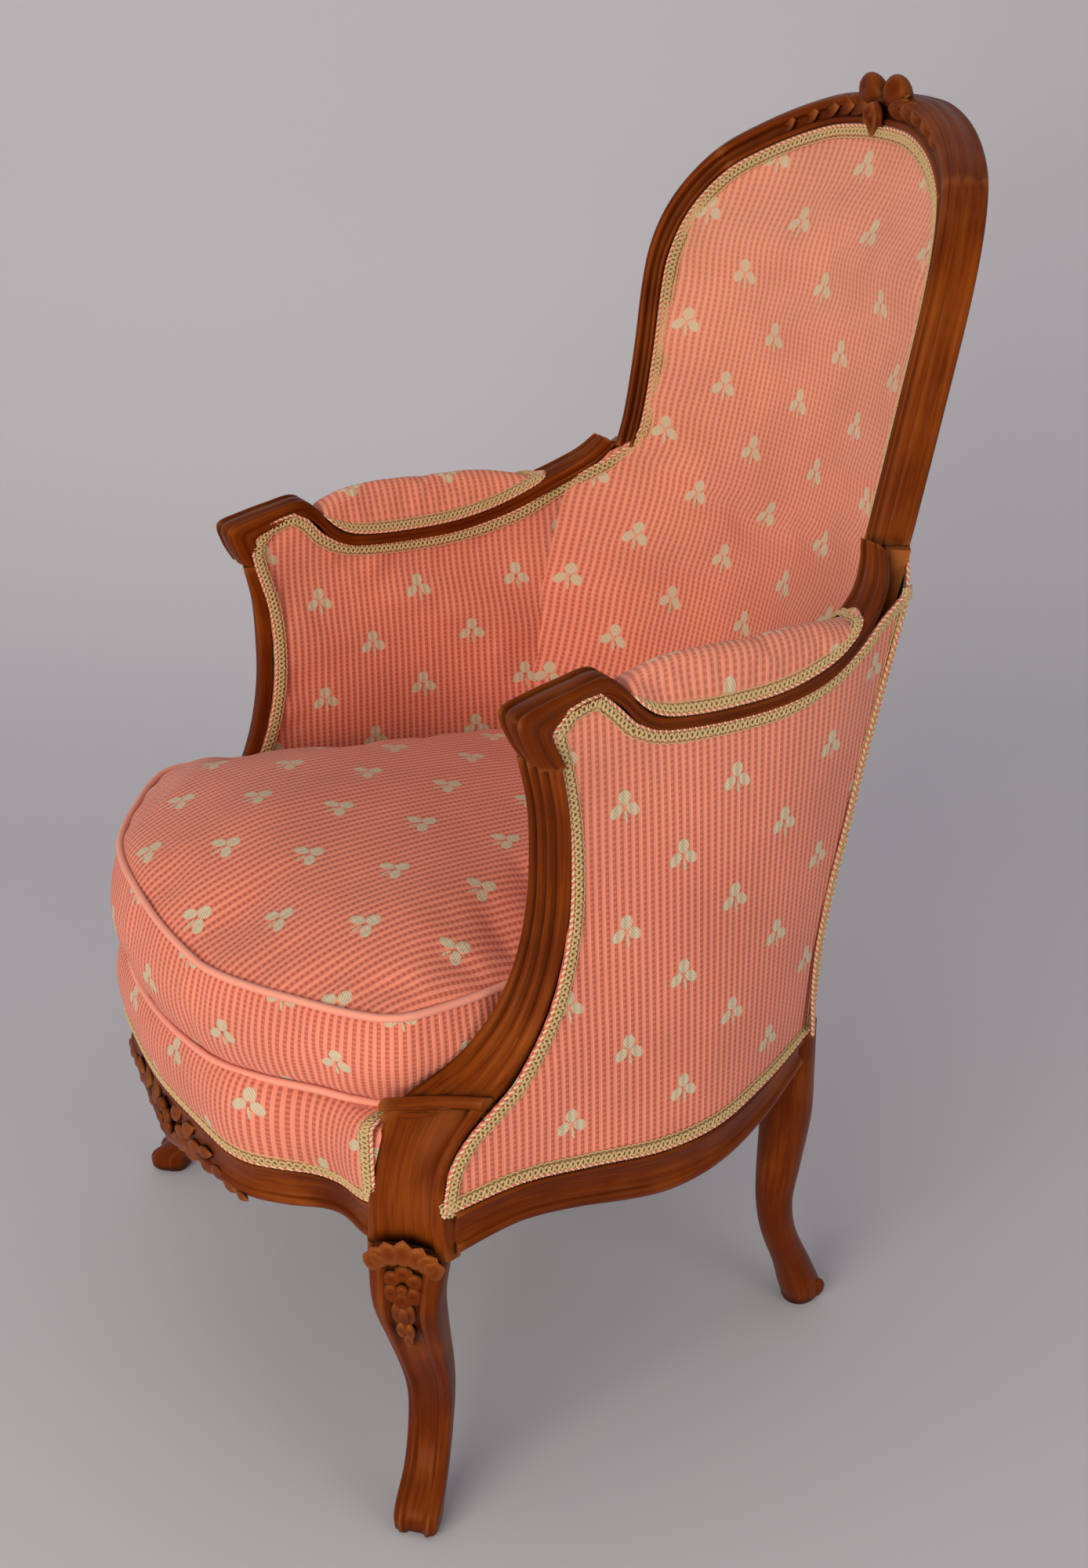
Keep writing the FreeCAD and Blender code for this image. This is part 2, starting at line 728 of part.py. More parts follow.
pad_middle = line_through([(-100, 260), (-40, 260), (0, 259.5), (40, 258), (75, 254.5),
                           (100, 250), (124, 241), (140, 233)])
pad_seat = line_through([(-100, arm_peak - 4), (-91, 660), (-84, 652.5), (-67, arm_dip + 7),
                         (-40, arm_dip + 2), (0, arm_dip + 1), (40, arm_dip + 3),
                         (75, arm_dip + 10), (100, arm_dip + 19), (124, arm_dip + 32),
                         (140, arm_dip + 42)])


def pad_gimp():
    """Gimp along both sides of an arm pad's foot."""
    strips = []
    for side in (-1, 1):
        rows = []
        for y in (-84, -66, -30, 20, 70, 105, 122):
            x = pad_middle(y) + side * (pad_half + 0.8)
            low = pad_seat(y) + 0.4
            high = low + min(gimp_wide, 8 + (y + 84) / 4, 8 + (122 - y) / 4)
            rows.append([Vector(x, y, low), Vector(x + side * gimp_thick, y, low),
                         Vector(x + side * gimp_thick * 0.6, y, high), Vector(x, y, high)])
        strips.append(loft(rows))
    return Part.makeCompound(strips)


# Seat upholstery
def seat_outline(inset):
    """Plan of the stuffed seat: bowed front, sides inside the arms, barrel rear."""
    front = [Vector(x, front_plan(x) + inset, 0)
             for x in spaced(-front_half - 4 + inset, front_half + 4 - inset, 25)]
    side = [Vector(inner_arm(y, seat_line + 20, 0).x - 1 - inset, y, 0)
            for y in (-200, -130, -60, 0, 50, 84)]
    side_start = Vector(front[-1].x, -262, 0)
    rear = [Vector(half, on_back(half, seat_line + 20).y - 6 - inset, 0)
            for half in spaced(side[-1].x - 10, -side[-1].x + 10, 13)]
    left = [Vector(-p.x, p.y, 0) for p in reversed(side)]
    left_start = Vector(-side_start.x, side_start.y, 0)
    return smooth_wire([front, [front[-1], side_start], [side_start, side[0]], side,
                        [side[-1], rear[0]], rear, [rear[-1], left[0]], left,
                        [left[-1], left_start], [left_start, front[0]]])


def plan_block(inset, low, high):
    return prism(seat_outline(inset), Vector(0, 0, low), Vector(0, 0, high - low))


def seat_straps():
    """Webbing of the seat: straps from front to back, and cross straps over them."""
    straps = []
    low = seat_line + 10 + rail_tongue + fit_gap
    for middle in (-136, -68, 0, 68, 136):
        front = max(front_plan(abs(middle) + 26), front_plan(abs(middle))) + 12
        rear = on_back(abs(middle) + 26, seat_line + 20).y + 4
        straps.append(Part.makeBox(strap_wide, rear - front, webbing,
                                   Vector(middle - strap_wide / 2, front, low)))
    for middle in (-215, -140, -65, 10, 85):
        reach = min(side_plan(middle - 26), side_plan(middle + 26)) - 14
        if middle == -215:
            reach = 222
        straps.append(Part.makeBox(2 * reach, strap_wide, webbing,
                                   Vector(-reach, middle - 26, low + webbing + fit_gap)))
    return Part.makeCompound(straps)


def front_gimp():
    """Gimp along the front rail and up the inner edges of the leg blocks."""
    def point(x):
        return Vector(x, front_plan(x), 0)
    rows = []
    for x in [-236, -205, -181, -160, -137, -106, -60, -25, 0,
              25, 60, 106, 137, 160, 181, 205, 236]:
        normal = plan_normal(point, x, 0.5, 1)
        low = front_top(abs(x)) + 2 * fit_gap
        foot = point(x) + normal * 2 * fit_gap
        rows.append([foot + Vector(0, 0, low), foot + normal * gimp_thick + Vector(0, 0, low),
                     foot + normal * gimp_thick + Vector(0, 0, low + gimp_wide),
                     foot + Vector(0, 0, low + gimp_wide)])
    return loft(rows)


def dust_cover(wood):
    """Cloth under the seat, set between the rails."""
    points = [Vector(x, front_plan(x) + rail_thick - 4, 0) for x in spaced(-205, 205, 13)]
    right = [Vector(side_plan(y) - rail_thick + 4, y, 0) for y in (-230, -150, -60, 20, 90)]
    rear = [Vector(half, on_back(half, seat_line).y + tongue_front + 4, 0)
            for half in spaced(waist_half + 4, -waist_half - 4, 9)]
    left = [Vector(-p.x, p.y, 0) for p in reversed(right)]
    points += right + rear + left
    sheet = Part.Face(Part.makePolygon(points + points[:1])).extrude(Vector(0, 0, hessian))
    sheet.translate(Vector(0, 0, seat_line - 16))
    return biggest(sheet.cut(wood))


# Cushion
def cushion_points(inset):
    """Plan points of the loose cushion, moved inwards by an inset."""
    right = [(0, -cushion_front), (60, -cushion_front + 4), (110, -cushion_front + 16),
             (155, -cushion_front + 40), (195, -cushion_front + 72),
             (cushion_half - 10, -264), (cushion_half + 1, -246), (cushion_half, -222),
             (cushion_half - 3, -180), (cushion_half - 12, -110), (cushion_half - 16, -50),
             (cushion_half - 28, 20), (cushion_rear_half + 26, 72), (cushion_rear_half, 96),
             (cushion_rear_half - 38, cushion_back - 26), (70, cushion_back - 6),
             (0, cushion_back)]
    outline = right + [(-x, y) for x, y in reversed(right[1:-1])]
    count = len(outline)
    moved = []
    for i, (x, y) in enumerate(outline):
        xa, ya = outline[i - 1]
        xb, yb = outline[(i + 1) % count]
        length = math.hypot(xb - xa, yb - ya)
        moved.append((x - inset * (yb - ya) / length, y + inset * (xb - xa) / length))
    return moved


def cushion_body(shrink):
    """The pillow form of the cushion, made smaller all round by a thickness."""
    low = cushion_bottom + shrink
    high = cushion_bottom + cushion_thick - shrink
    middle = (cushion_back - cushion_front) / 2
    levels = [(low, 10, 1), (low + 5, 3, 1), (low + 12, 0, 1), (high - 10, 0, 1), (high, 4, 1),
              (high + 0.5 * cushion_crown, 4, 0.84), (high + 0.86 * cushion_crown, 4, 0.62),
              (high + cushion_crown, 4, 0.4)]
    wires = []
    for z, inset, scale in levels:
        curve = Part.BSplineCurve()
        points = [Vector(x * scale, middle + (y - middle) * scale, z)
                  for x, y in cushion_points(inset + shrink)]
        curve.interpolate(points, PeriodicFlag=True)
        wires.append(Part.Wire(curve.toShape()))
    return Part.makeLoft(wires, True, True)


def piping_ring(low):
    """A cord round the cushion, just outside its cover."""
    wires = []
    for inset in (-piping / 2 - fit_gap, -fit_gap):
        curve = Part.BSplineCurve()
        points = [Vector(x, y, low) for x, y in cushion_points(inset)]
        curve.interpolate(points, PeriodicFlag=True)
        wires.append(Part.Wire(curve.toShape()))
    outer, inner = [Part.Face(wire).extrude(Vector(0, 0, piping)) for wire in wires]
    return outer.cut(inner)


def save(name, shape):
    moved = shape.copy()
    moved.translate(Vector(0, centre_shift, 0))
    moved.exportStep(os.path.join("parts", name + ".step"))


def save_pair(name, shape):
    save(name + "_right", shape)
    save(name + "_left", mirrored(shape))


def build():
    os.makedirs("parts", exist_ok=True)

    # frame
    post = rear_post()
    stile = back_stile()
    leg = front_leg()
    stump = arm_stump()
    arm_wood = arm(post, stile)
    crest = crest_rail()
    posts = Part.makeCompound([post, mirrored(post)])
    legs = Part.makeCompound([leg, mirrored(leg)])
    stumps = Part.makeCompound([stump, mirrored(stump)])
    front = front_rail(legs)
    side = side_rail(leg, post)
    rear = rear_rail(posts)
    low_rail = back_lower_rail(posts)
    rails = Part.makeCompound([front, side, mirrored(side), rear])
    save_pair("front_leg", leg)
    save_pair("arm_stump", stump)
    save_pair("arm", arm_wood)
    save_pair("rear_post", post)
    save_pair("back_stile", stile)
    save("crest_rail", crest)
    save("front_rail", front)
    save_pair("side_rail", side)
    save("rear_rail", rear)
    save("back_lower_rail", low_rail)
    save("corner_blocks", corner_blocks(Part.makeCompound([legs, posts, rails])))

    # back
    wide = 204
    low = seat_pad_top + cloth + 4 * fit_gap
    panel = back_prism(0, 2 * fit_gap, low, wide)
    cover = cover_depth + cloth
    hessian_front = tongue_front - 2 * (webbing + 2 * fit_gap) - hessian - 2 * fit_gap
    save("inside_back_cover", back_layer(plump(cover_depth), plump(cover), panel, posts))
    save("back_stuffing", back_layer(plump(cover + fit_gap), flat(hessian_front - fit_gap), panel,
                                     posts))
    save("back_hessian", back_layer(flat(hessian_front), flat(hessian_front + hessian), panel,
                                    posts))
    save("back_webbing", back_straps())
    strip = back_prism(0, 5 * fit_gap, low, wide)
    hole = back_prism(0, gimp_wide, low - 20, wide)
    save("gimp_inside_back", back_layer(plump(cover_depth - fit_gap - gimp_thick),
                                        plump(cover_depth - fit_gap), strip, hole, posts))
    rear_low = seat_line + 15
    rear_cover = tongue_back + 2
    panel = back_prism(rear_cover, fit_gap, rear_low, wide - 16)
    save("outside_back_cover", back_layer(behind(rear_cover), behind(rear_cover + cloth), panel,
                                          posts))
    hole = back_prism(rear_cover, gimp_wide, rear_low, wide - 16)
    rear_gimp = rear_cover + cloth + fit_gap
    save("gimp_outside_back", back_layer(behind(rear_gimp), behind(rear_gimp + gimp_thick), panel,
                                         hole, posts))

    # arms
    wood = Part.makeCompound([leg, stump, arm_wood, post, side])
    block = arm_block(panel_front_y, panel_rear_y, under_band, side_top, fit_gap)
    hole = arm_block(panel_front_y, panel_rear_y, under_band, side_top, gimp_wide)
    depth = arm_cover_depth
    save_pair("outside_arm_cover", arm_layer(outer_arm, flat(depth), flat(depth + cloth), block,
                                             wood))
    save_pair("gimp_outside_arm", arm_layer(outer_arm, flat(depth - fit_gap - gimp_thick),
                                            flat(depth - fit_gap), block, hole, wood))
    block = arm_block(inner_front_y, inner_rear_y, under_band, deck_line, fit_gap)
    hole = arm_block(inner_front_y, lambda z: inner_rear_y(z) + 40, under_band,
                     lambda y: deck_line(y) - 40, gimp_wide)

    def swell(depth):
        return lambda y, z: depth - arm_crown * arm_swell(y, z)

    near = arm_cover_depth + cloth
    save_pair("inside_arm_cover", arm_layer(inner_arm, swell(near), swell(near + cloth), block,
                                            wood))
    near += cloth + fit_gap
    save_pair("arm_stuffing", arm_layer(inner_arm, swell(near), flat(near + 3), block, wood))
    near += 3 + 2 * fit_gap
    save_pair("arm_hessian", arm_layer(inner_arm, flat(near), flat(near + hessian), block, wood))
    near = arm_cover_depth + cloth - fit_gap
    save_pair("gimp_inside_arm", arm_layer(inner_arm, swell(near - gimp_thick), swell(near),
                                           block, hole, wood))
    pad = biggest(arm_pad(-fit_gap, pad_base).cut(arm_wood))
    save_pair("arm_pad_stuffing", pad)
    pad_cover = biggest(arm_pad(cloth, pad_base).cut(arm_pad(0, pad_base, 8)).cut(arm_wood))
    save_pair("arm_pad_cover", pad_cover)
    save_pair("gimp_arm_pad", pad_gimp().cut(pad_cover).cut(arm_wood))

    # seat
    wood = Part.makeCompound([legs, stumps, posts, rails])
    deck_low = seat_line + 10 + rail_tongue + 2 * (webbing + fit_gap) + fit_gap
    save("seat_webbing", seat_straps())
    save("seat_hessian", biggest(plan_block(cloth + fit_gap, deck_low, deck_low + hessian)
                                 .cut(wood)))
    save("seat_stuffing", biggest(plan_block(cloth + fit_gap, deck_low + hessian + fit_gap,
                                             seat_pad_top).cut(wood)))
    shell = plan_block(0, seat_line - 12, seat_pad_top + cloth + fit_gap)
    shell = shell.cut(plan_block(cloth, seat_line - 20, seat_pad_top + fit_gap))
    skirt = Part.makeBox(900, 900, seat_pad_top - seat_line + 10,
                         Vector(-450, -front_reach + front_bow - 1, seat_line - 15))
    save("seat_cover", biggest(shell.cut(skirt).cut(wood)))
    save("dust_cover", dust_cover(wood))
    save("gimp_seat_front", biggest(front_gimp().cut(legs)))

    # cushion
    filling = cushion_body(cloth)
    save("cushion_filling", filling)
    save("cushion_cover", cushion_body(0).cut(filling))
    save("cushion_piping_bottom", piping_ring(cushion_bottom + 12.5))
    save("cushion_piping_top", piping_ring(cushion_bottom + cushion_thick - 10.5 - piping))


build()
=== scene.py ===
import bmesh
import bpy
import math
from mathutils import Matrix, Vector


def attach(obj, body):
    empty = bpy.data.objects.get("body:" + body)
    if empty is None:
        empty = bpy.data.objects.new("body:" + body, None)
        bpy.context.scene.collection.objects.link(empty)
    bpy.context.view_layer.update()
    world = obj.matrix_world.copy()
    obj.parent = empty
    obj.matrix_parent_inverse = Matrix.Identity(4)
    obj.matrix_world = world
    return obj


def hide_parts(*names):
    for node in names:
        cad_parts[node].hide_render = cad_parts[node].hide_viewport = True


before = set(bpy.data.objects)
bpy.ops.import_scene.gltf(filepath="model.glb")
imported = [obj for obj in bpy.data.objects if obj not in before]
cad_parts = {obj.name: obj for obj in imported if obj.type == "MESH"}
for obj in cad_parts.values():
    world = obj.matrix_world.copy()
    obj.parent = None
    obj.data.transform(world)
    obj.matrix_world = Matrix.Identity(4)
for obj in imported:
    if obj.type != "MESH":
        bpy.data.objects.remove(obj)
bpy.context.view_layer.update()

# Floor, backdrop and light.
# A chair of this kind is photographed on a plain paper sweep with broad daylight from the
# front, so the lamps are large and soft and the paper is pale.

def linear(hex_colour):
    """An sRGB hex colour as the linear colour that a shader takes."""
    parts = [int(hex_colour[i:i + 2], 16) / 255 for i in (1, 3, 5)]
    return [c / 12.92 if c <= 0.04045 else ((c + 0.055) / 1.055) ** 2.4 for c in parts] + [1]


def node(tree, kind, settings=None, **inputs):
    """Adds a shader node with its settings. Into its inputs, by name or by _number, go values,
    sockets, or nodes, whose first output in use is taken."""
    new = tree.nodes.new("ShaderNode" + kind)
    for key, value in (settings or {}).items():
        setattr(new, key, value)
    for key, value in inputs.items():
        socket = new.inputs[int(key[1:]) if key[1:].isdigit() else key.replace("_", " ")]
        if isinstance(value, bpy.types.Node):
            value = next(output for output in value.outputs if output.enabled)
        if isinstance(value, bpy.types.NodeSocket):
            tree.links.new(value, socket)
        else:
            socket.default_value = value
    return new


def mix(tree, share, first, second, way="MIX"):
    """A node that mixes or multiplies two colours."""
    return node(tree, "Mix", {"data_type": "RGBA", "blend_type": way}, _0=share, _6=first,
                _7=second)


def material(name):
    """A new material and its empty node tree."""
    made = bpy.data.materials.new(name)
    made.use_nodes = True
    made.node_tree.nodes.clear()
    return made, made.node_tree


def surface(tree, **inputs):
    """Ends a material in one shader with these inputs."""
    node(tree, "OutputMaterial", Surface=node(tree, "BsdfPrincipled", **inputs))


def show(name, data):
    """Links a new object that holds the data."""
    holder = bpy.data.objects.new(name, data)
    bpy.context.scene.collection.objects.link(holder)
    return holder


paper, tree = material("Seamless paper")
surface(tree, Base_Color=linear("#CBCCD4"), Roughness=0.9)

# the paper lies flat, turns up on a radius behind the chair and rises, square to the camera
camera_turn = math.radians(60)
sweep_half, near_end, flat_run, radius, upright = 11, -3.2, 4.4, 0.9, 4.2
bend_start, bend_end = 0.45, 0.65
sweep = bmesh.new()
bmesh.ops.create_grid(sweep, x_segments=1, y_segments=24, size=1)
for vertex in sweep.verts:
    along = (vertex.co.y + 1) / 2
    turn = min(max((along - bend_start) / (bend_end - bend_start), 0), 1) * math.pi / 2
    depth = near_end + min(along, bend_start) / bend_start * flat_run + radius * math.sin(turn)
    rise = max(along - bend_end, 0) / (1 - bend_end) * upright
    vertex.co = Vector((vertex.co.x * sweep_half, depth, radius * (1 - math.cos(turn)) + rise))
bmesh.ops.rotate(sweep, verts=sweep.verts, matrix=Matrix.Rotation(camera_turn, 3, "Z"))
sweep_data = bpy.data.meshes.new("backdrop")
sweep.to_mesh(sweep_data)
sweep_data.shade_smooth()
sweep_data.materials.append(paper)
show("backdrop", sweep_data)

world = bpy.data.worlds.new("Studio")
bpy.context.scene.world = world
world.use_nodes = True
sky = world.node_tree.nodes["Background"].inputs
sky["Color"].default_value = linear("#E2E0E2")
sky["Strength"].default_value = 0.5

for name, place, width, height, power in (
        ("Window", (1.9, -3.2, 1.3), 2.6, 2.2, 104),
        ("Bounce", (3.4, 1.0, 1.0), 1.8, 1.8, 26),
        ("Sky", (-0.6, -0.8, 3.6), 2.4, 2.4, 8)):
    lamp = bpy.data.lights.new(name, "AREA")
    lamp.shape = "RECTANGLE"
    lamp.size = width
    lamp.size_y = height
    lamp.energy = power
    lamp.color = linear("#FFF0E0")[:3]
    holder = show(name, lamp)
    holder.location = place
    aim = Vector((0, 0, 0.5)) - Vector(place)
    holder.rotation_euler = aim.to_track_quat("-Z", "Y").to_euler()

camera_data = bpy.data.cameras.new("Camera")
camera_data.lens = 44.01
camera = show("Camera", camera_data)
camera.location = (1.3120, -0.7519, 1.1330)
camera.rotation_euler = (math.radians(90 - 23.785), 0, camera_turn)
bpy.context.scene.camera = camera
bpy.context.scene.view_settings.view_transform = "Standard"


# Back frame: two stiles and the arched top rail.
# Stained beech, planed to a curve and run with a bead, a cove and a second bead; the stiles
# are joined to the posts and to the rail, where a hairline shows.

def ramp(tree, source, *stops):
    """Colours between stops, each a (place, colour)."""
    new = node(tree, "ValToRGB", _0=source)
    marks = new.color_ramp.elements
    for i, (at, colour) in enumerate(stops):
        mark = marks[i] if i < 2 else marks.new(at)
        mark.position = at
        mark.color = linear(colour)
    return new


stained_beech, tree = material("Stained beech")
# Brown stain, darker in the hollows (painted shade, with stain and dirt pooled there) and paler on
# the edges (rubbed wear with a painted highlight), under a thin wax polish.
varnish = {"Specular_IOR_Level": 0.26, "Specular_Tint": linear("#FFA868")}
place = node(tree, "UVMap", {"uv_map": "Grain"})
object_place = node(tree, "TexCoord").outputs["Object"]
grain = node(tree, "TexNoise", Vector=node(tree, "Mapping", Vector=place, Scale=(260, 14, 1)),
             Scale=1, Detail=5, Roughness=0.62, Distortion=0.4)
pore = node(tree, "TexNoise", Vector=node(tree, "Mapping", Vector=place, Scale=(900, 60, 1)),
            Scale=1, Detail=2)
cloud = node(tree, "TexNoise", Vector=object_place, Scale=14, Detail=3)
shade = node(tree, "Math", {"operation": "MULTIPLY"}, _0=cloud, _1=0.55)
mixed = node(tree, "Math", {"operation": "MULTIPLY_ADD"}, _0=grain, _1=0.5, _2=shade)
stain = ramp(tree, mixed, (0.22, "#381203"), (0.82, "#8C4410"), (0.5, "#5C2205"))
# painted shade: an occlusion mask darkens the stain in hollows and grooves, standing also for
# stain and dirt pooled there
hollow = node(tree, "AmbientOcclusion", {"samples": 6}, Distance=0.012).outputs["AO"]
painted_hollow_shade = node(tree, "MapRange", Value=hollow, From_Min=0.45, From_Max=0.95, To_Min=0.05,
            To_Max=1.05)
stain_with_hollow_shade = mix(tree, 1.0, stain, painted_hollow_shade, "MULTIPLY")
# paler convex edges from the mesh's pointiness: rubbed wear together with a painted highlight
edge = node(tree, "NewGeometry").outputs["Pointiness"]
rubbed_and_highlit = node(tree, "MapRange", Value=edge, From_Min=0.53, From_Max=0.62, To_Max=0.42)
worn_and_highlit = mix(tree, rubbed_and_highlit, stain_with_hollow_shade, linear("#B8713A"))
bump = node(tree, "Bump", Height=pore, Strength=0.18, Distance=0.0006)
wax = node(tree, "MapRange", Value=grain, To_Min=0.3, To_Max=0.48)
surface(tree, Base_Color=worn_and_highlit, Roughness=wax, Normal=bump, **varnish)


sides_of_chair = ((1, "right"), (-1, "left"))
centre_shift = 7.2
up = Vector((0, 0, 1))


def spot(x, y, z):
    """A point given in millimetres before the frame's origin was centred, in metres."""
    return Vector((x, y + centre_shift, z)) / 1000


def mirrored(points):
    """Points of the other side, in reverse order."""
    return [Vector((-p[0], p[1])) for p in reversed(points)]


def through(points, steps):
    """Points along a smooth curve through a few points, with steps between each pair."""
    points = [Vector(p) for p in points]
    ends = [points[0] * 2 - points[1]] + points + [points[-1] * 2 - points[-2]]
    curve = []
    for a, b, c, d in zip(ends, ends[1:], ends[2:], ends[3:]):
        for i in range(steps):
            t = i / steps
            curve.append((b * 2 + (c - a) * t + (a * 2 - b * 5 + c * 4 - d) * t * t
                          + (b * 3 - a - c * 3 + d) * t ** 3) / 2)
    return curve + [points[-1]]


def value_at(pairs, at):
    """The value at a place on a smooth line through (place, value) pairs."""
    at = min(max(at, pairs[0][0]), pairs[-1][0])
    i = max(k for k in range(len(pairs) - 1) if pairs[k][0] <= at)
    slopes = []
    for k in (i, i + 1):
        a, b = pairs[max(k - 1, 0)], pairs[min(k + 1, len(pairs) - 1)]
        slopes.append((b[1] - a[1]) / (b[0] - a[0]))
    step = pairs[i + 1][0] - pairs[i][0]
    t = (at - pairs[i][0]) / step
    return ((1 + 2 * t) * (1 - t) ** 2 * pairs[i][1] + t * (1 - t) ** 2 * step * slopes[0]
            + t * t * (3 - 2 * t) * pairs[i + 1][1] - t * t * (1 - t) * step * slopes[1])


def placed(name, data, body, nodes):
    """Links a piece that rides on a body and stands for nodes."""
    piece = show(name, data)
    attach(piece, body)
    if nodes:
        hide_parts(*nodes)
    return piece


def new_piece(name, mesh, finish, *nodes, body="frame", side=1, sharp=50):
    """Makes an object of a mesh, mirrored for the left side, gives it its finish and body, and
    hides the nodes it stands for. Edges turning by more than sharp degrees stay crisp."""
    if side < 0:
        bmesh.ops.scale(mesh, verts=mesh.verts, vec=(-1, 1, 1))
        bmesh.ops.reverse_faces(mesh, faces=mesh.faces)
    bmesh.ops.recalc_face_normals(mesh, faces=mesh.faces)
    for face in mesh.faces:
        face.smooth = True
    for edge in mesh.edges:
        if edge.is_manifold and edge.calc_face_angle(0) > math.radians(sharp):
            edge.smooth = False
    data = bpy.data.meshes.new(name)
    mesh.to_mesh(data)
    mesh.free()
    data.materials.append(finish)
    return placed(name, data, body, nodes)


def bar(mesh, sections, pattern="Grain", capped=True):
    """A bar: the first section's outline is extruded to each of the others and capped."""
    layer = mesh.loops.layers.uv.get(pattern) or mesh.loops.layers.uv.new(pattern)
    ring = [mesh.verts.new(p) for p in sections[0]]
    sides = [mesh.edges.new((ring[i - 1], ring[i])) for i in range(len(ring))]
    first = sides
    girth = [0]
    for i in range(1, len(ring) + 1):
        girth.append(girth[-1] + (sections[0][i % len(ring)] - sections[0][i - 1]).length)
    offset = sections[0][0].x
    run = 0
    for before, section in zip(sections, sections[1:]):
        grown = bmesh.ops.extrude_edge_only(mesh, edges=sides)["geom"]
        fresh = {v for v in grown if isinstance(v, bmesh.types.BMVert)}
        faces = [f for f in grown if isinstance(f, bmesh.types.BMFace)]
        after = [next(e.other_vert(v) for e in v.link_edges if e.other_vert(v) in fresh)
                 for v in ring]
        step = (section[0] - before[0]).length
        old = {v: i for i, v in enumerate(ring)}
        new = {v: i for i, v in enumerate(after)}
        for face in faces:
            places = [old.get(v, new.get(v)) for v in face.verts]
            wraps = max(places) - min(places) > 1
            for loop, index in zip(face.loops, places):
                around = girth[-1] if wraps and index == 0 else girth[index]
                loop[layer].uv = (around + offset, run + (0 if loop.vert in old else step))
        for v, p in zip(after, section):
            v.co = p
        run += step
        sides = [mesh.edges.get((after[i - 1], after[i])) for i in range(len(after))]
        ring = after
    if capped:
        bmesh.ops.holes_fill(mesh, edges=first, sides=0)
        bmesh.ops.holes_fill(mesh, edges=sides, sides=0)


def profile(corners, steps=2):
    """A smooth closed outline of (across, depth) pairs, thin lines kept where pairs are near."""
    return [tuple(p) for p in through(corners, steps)]


barrel_radius = 252
crest_height = 993
back_middle = [(290, 178.4), (350, 174.4), (400, 177.9), (500, 198.3), (600, 221.9),
               (660, 238.9), (720, 255.8), (860, 286.1), (1040, 325.0)]
opening = through([
    (171, 700), (170, 735), (172, 790), (175, 840), (175, 870), (169, 900), (157, 926),
    (138, 949), (113, 965), (83, 979), (51, 989), (25, 992), (0, crest_height)], 6)
crest_joint = min(range(len(opening)), key=lambda i: abs(opening[i].y - 950))


def on_back(half, height, depth=0.0):
    """A point of the barrel back; depth goes to the rear, square to the barrel."""
    slope = half / barrel_radius
    length = math.hypot(slope, 1)
    y = value_at(back_middle, height) - half * half / (2 * barrel_radius)
    return spot(half + depth * slope / length, y + depth / length, height)


def back_station(index, outline, side):
    """A section of the back frame square to its inner edge."""
    here = opening[index]
    ahead = opening[min(index + 1, len(opening) - 1)] - opening[max(index - 1, 0)]
    if index == len(opening) - 1:
        ahead = Vector((-1, 0))
    outward = Vector((ahead.y, -ahead.x)).normalized()
    rise = min(max((here.y - 860) / (crest_height - 860), 0), 1)
    face = 15 + 7 * rise
    start = on_back(here.x, here.y)
    across = on_back(here.x + outward.x * face, here.y + outward.y * face) - start
    rear = (on_back(here.x, here.y, 1) - start).normalized() / 1000
    places = [start + across * u + rear * v for u, v in outline]
    return [Vector((side * p.x, p.y, p.z)) for p in places]


back_moulding = profile([
    (0.0, 1.6), (0.03, 0.1), (0.1, -0.8), (0.19, -0.6), (0.24, 0.9), (0.3, 2.3), (0.42, 3.0),
    (0.54, 2.6), (0.62, 1.0), (0.67, -0.4), (0.78, -1.4), (0.9, -1.1), (0.98, 0.3),
    (1.02, 2.2), (0.99, 3.4), (1.03, 4.6), (1.09, 7.5), (1.1, 10.5), (1.06, 12.6),
    (1.09, 14.4), (1.1, 18.0), (1.04, 22.5), (1.0, 27.0), (1.04, 30.0), (1.0, 32.6),
    (0.86, 33.9), (0.5, 34.0), (0.05, 33.9), (0.0, 32.5), (0.0, 20.0)])

mesh = bmesh.new()
stations = [back_station(i, back_moulding, 1) for i in range(crest_joint, len(opening))]
bar(mesh, stations + [back_station(i, back_moulding, -1)
                      for i in range(len(opening) - 2, crest_joint - 1, -1)])
new_piece("crest_rail_wood", mesh, stained_beech, "crest_rail")
for side, word in sides_of_chair:
    mesh = bmesh.new()
    bar(mesh, [back_station(i, back_moulding, side) for i in range(crest_joint + 1)])
    new_piece("back_stile_wood_" + word, mesh, stained_beech, "back_stile_" + word)


# Carving at the middle of the top rail and its leaf sprays.
# Cut from the solid: two rounded blossoms side by side over three leaves, with a laurel
# spray running off each way along the rail.

def leaf(mesh, base, along, out, length, width, thick, droop=0.0, groove=0.35):
    """A carved leaf or petal that lies along one direction and swells out along another."""
    made = bmesh.ops.create_icosphere(mesh, subdivisions=2, radius=1)["verts"]
    across = along.cross(out).normalized()
    out = across.cross(along).normalized()
    for v in made:
        s = (v.co.y + 1) / 2
        spread = math.sin(math.pi * min(s, 1) ** 0.8) * 0.35 + 0.65 * (1 - s) ** 0.3 * s ** 0.25
        x = v.co.x * width / 2 * (0.45 + spread)
        z = v.co.z * thick / 2 * (1.1 - 0.5 * s) - groove * thick * max(0, 1 - abs(v.co.x) * 3)
        z -= droop * length * s * s
        v.co = base + (across * x + along * (s * length) + out * z) / 1000


def bud(mesh, middle, out, up, radius, flat=0.7):
    """A rounded blossom with a dimple at its heart."""
    made = bmesh.ops.create_icosphere(mesh, subdivisions=3, radius=1)["verts"]
    across = up.cross(out).normalized()
    for v in made:
        reach = math.hypot(v.co.x, v.co.y)
        z = v.co.z * flat - 0.3 * math.exp(-(reach / 0.28) ** 2) * (v.co.z > 0)
        v.co = middle + (across * v.co.x + up * v.co.y + out * z) * radius / 1000


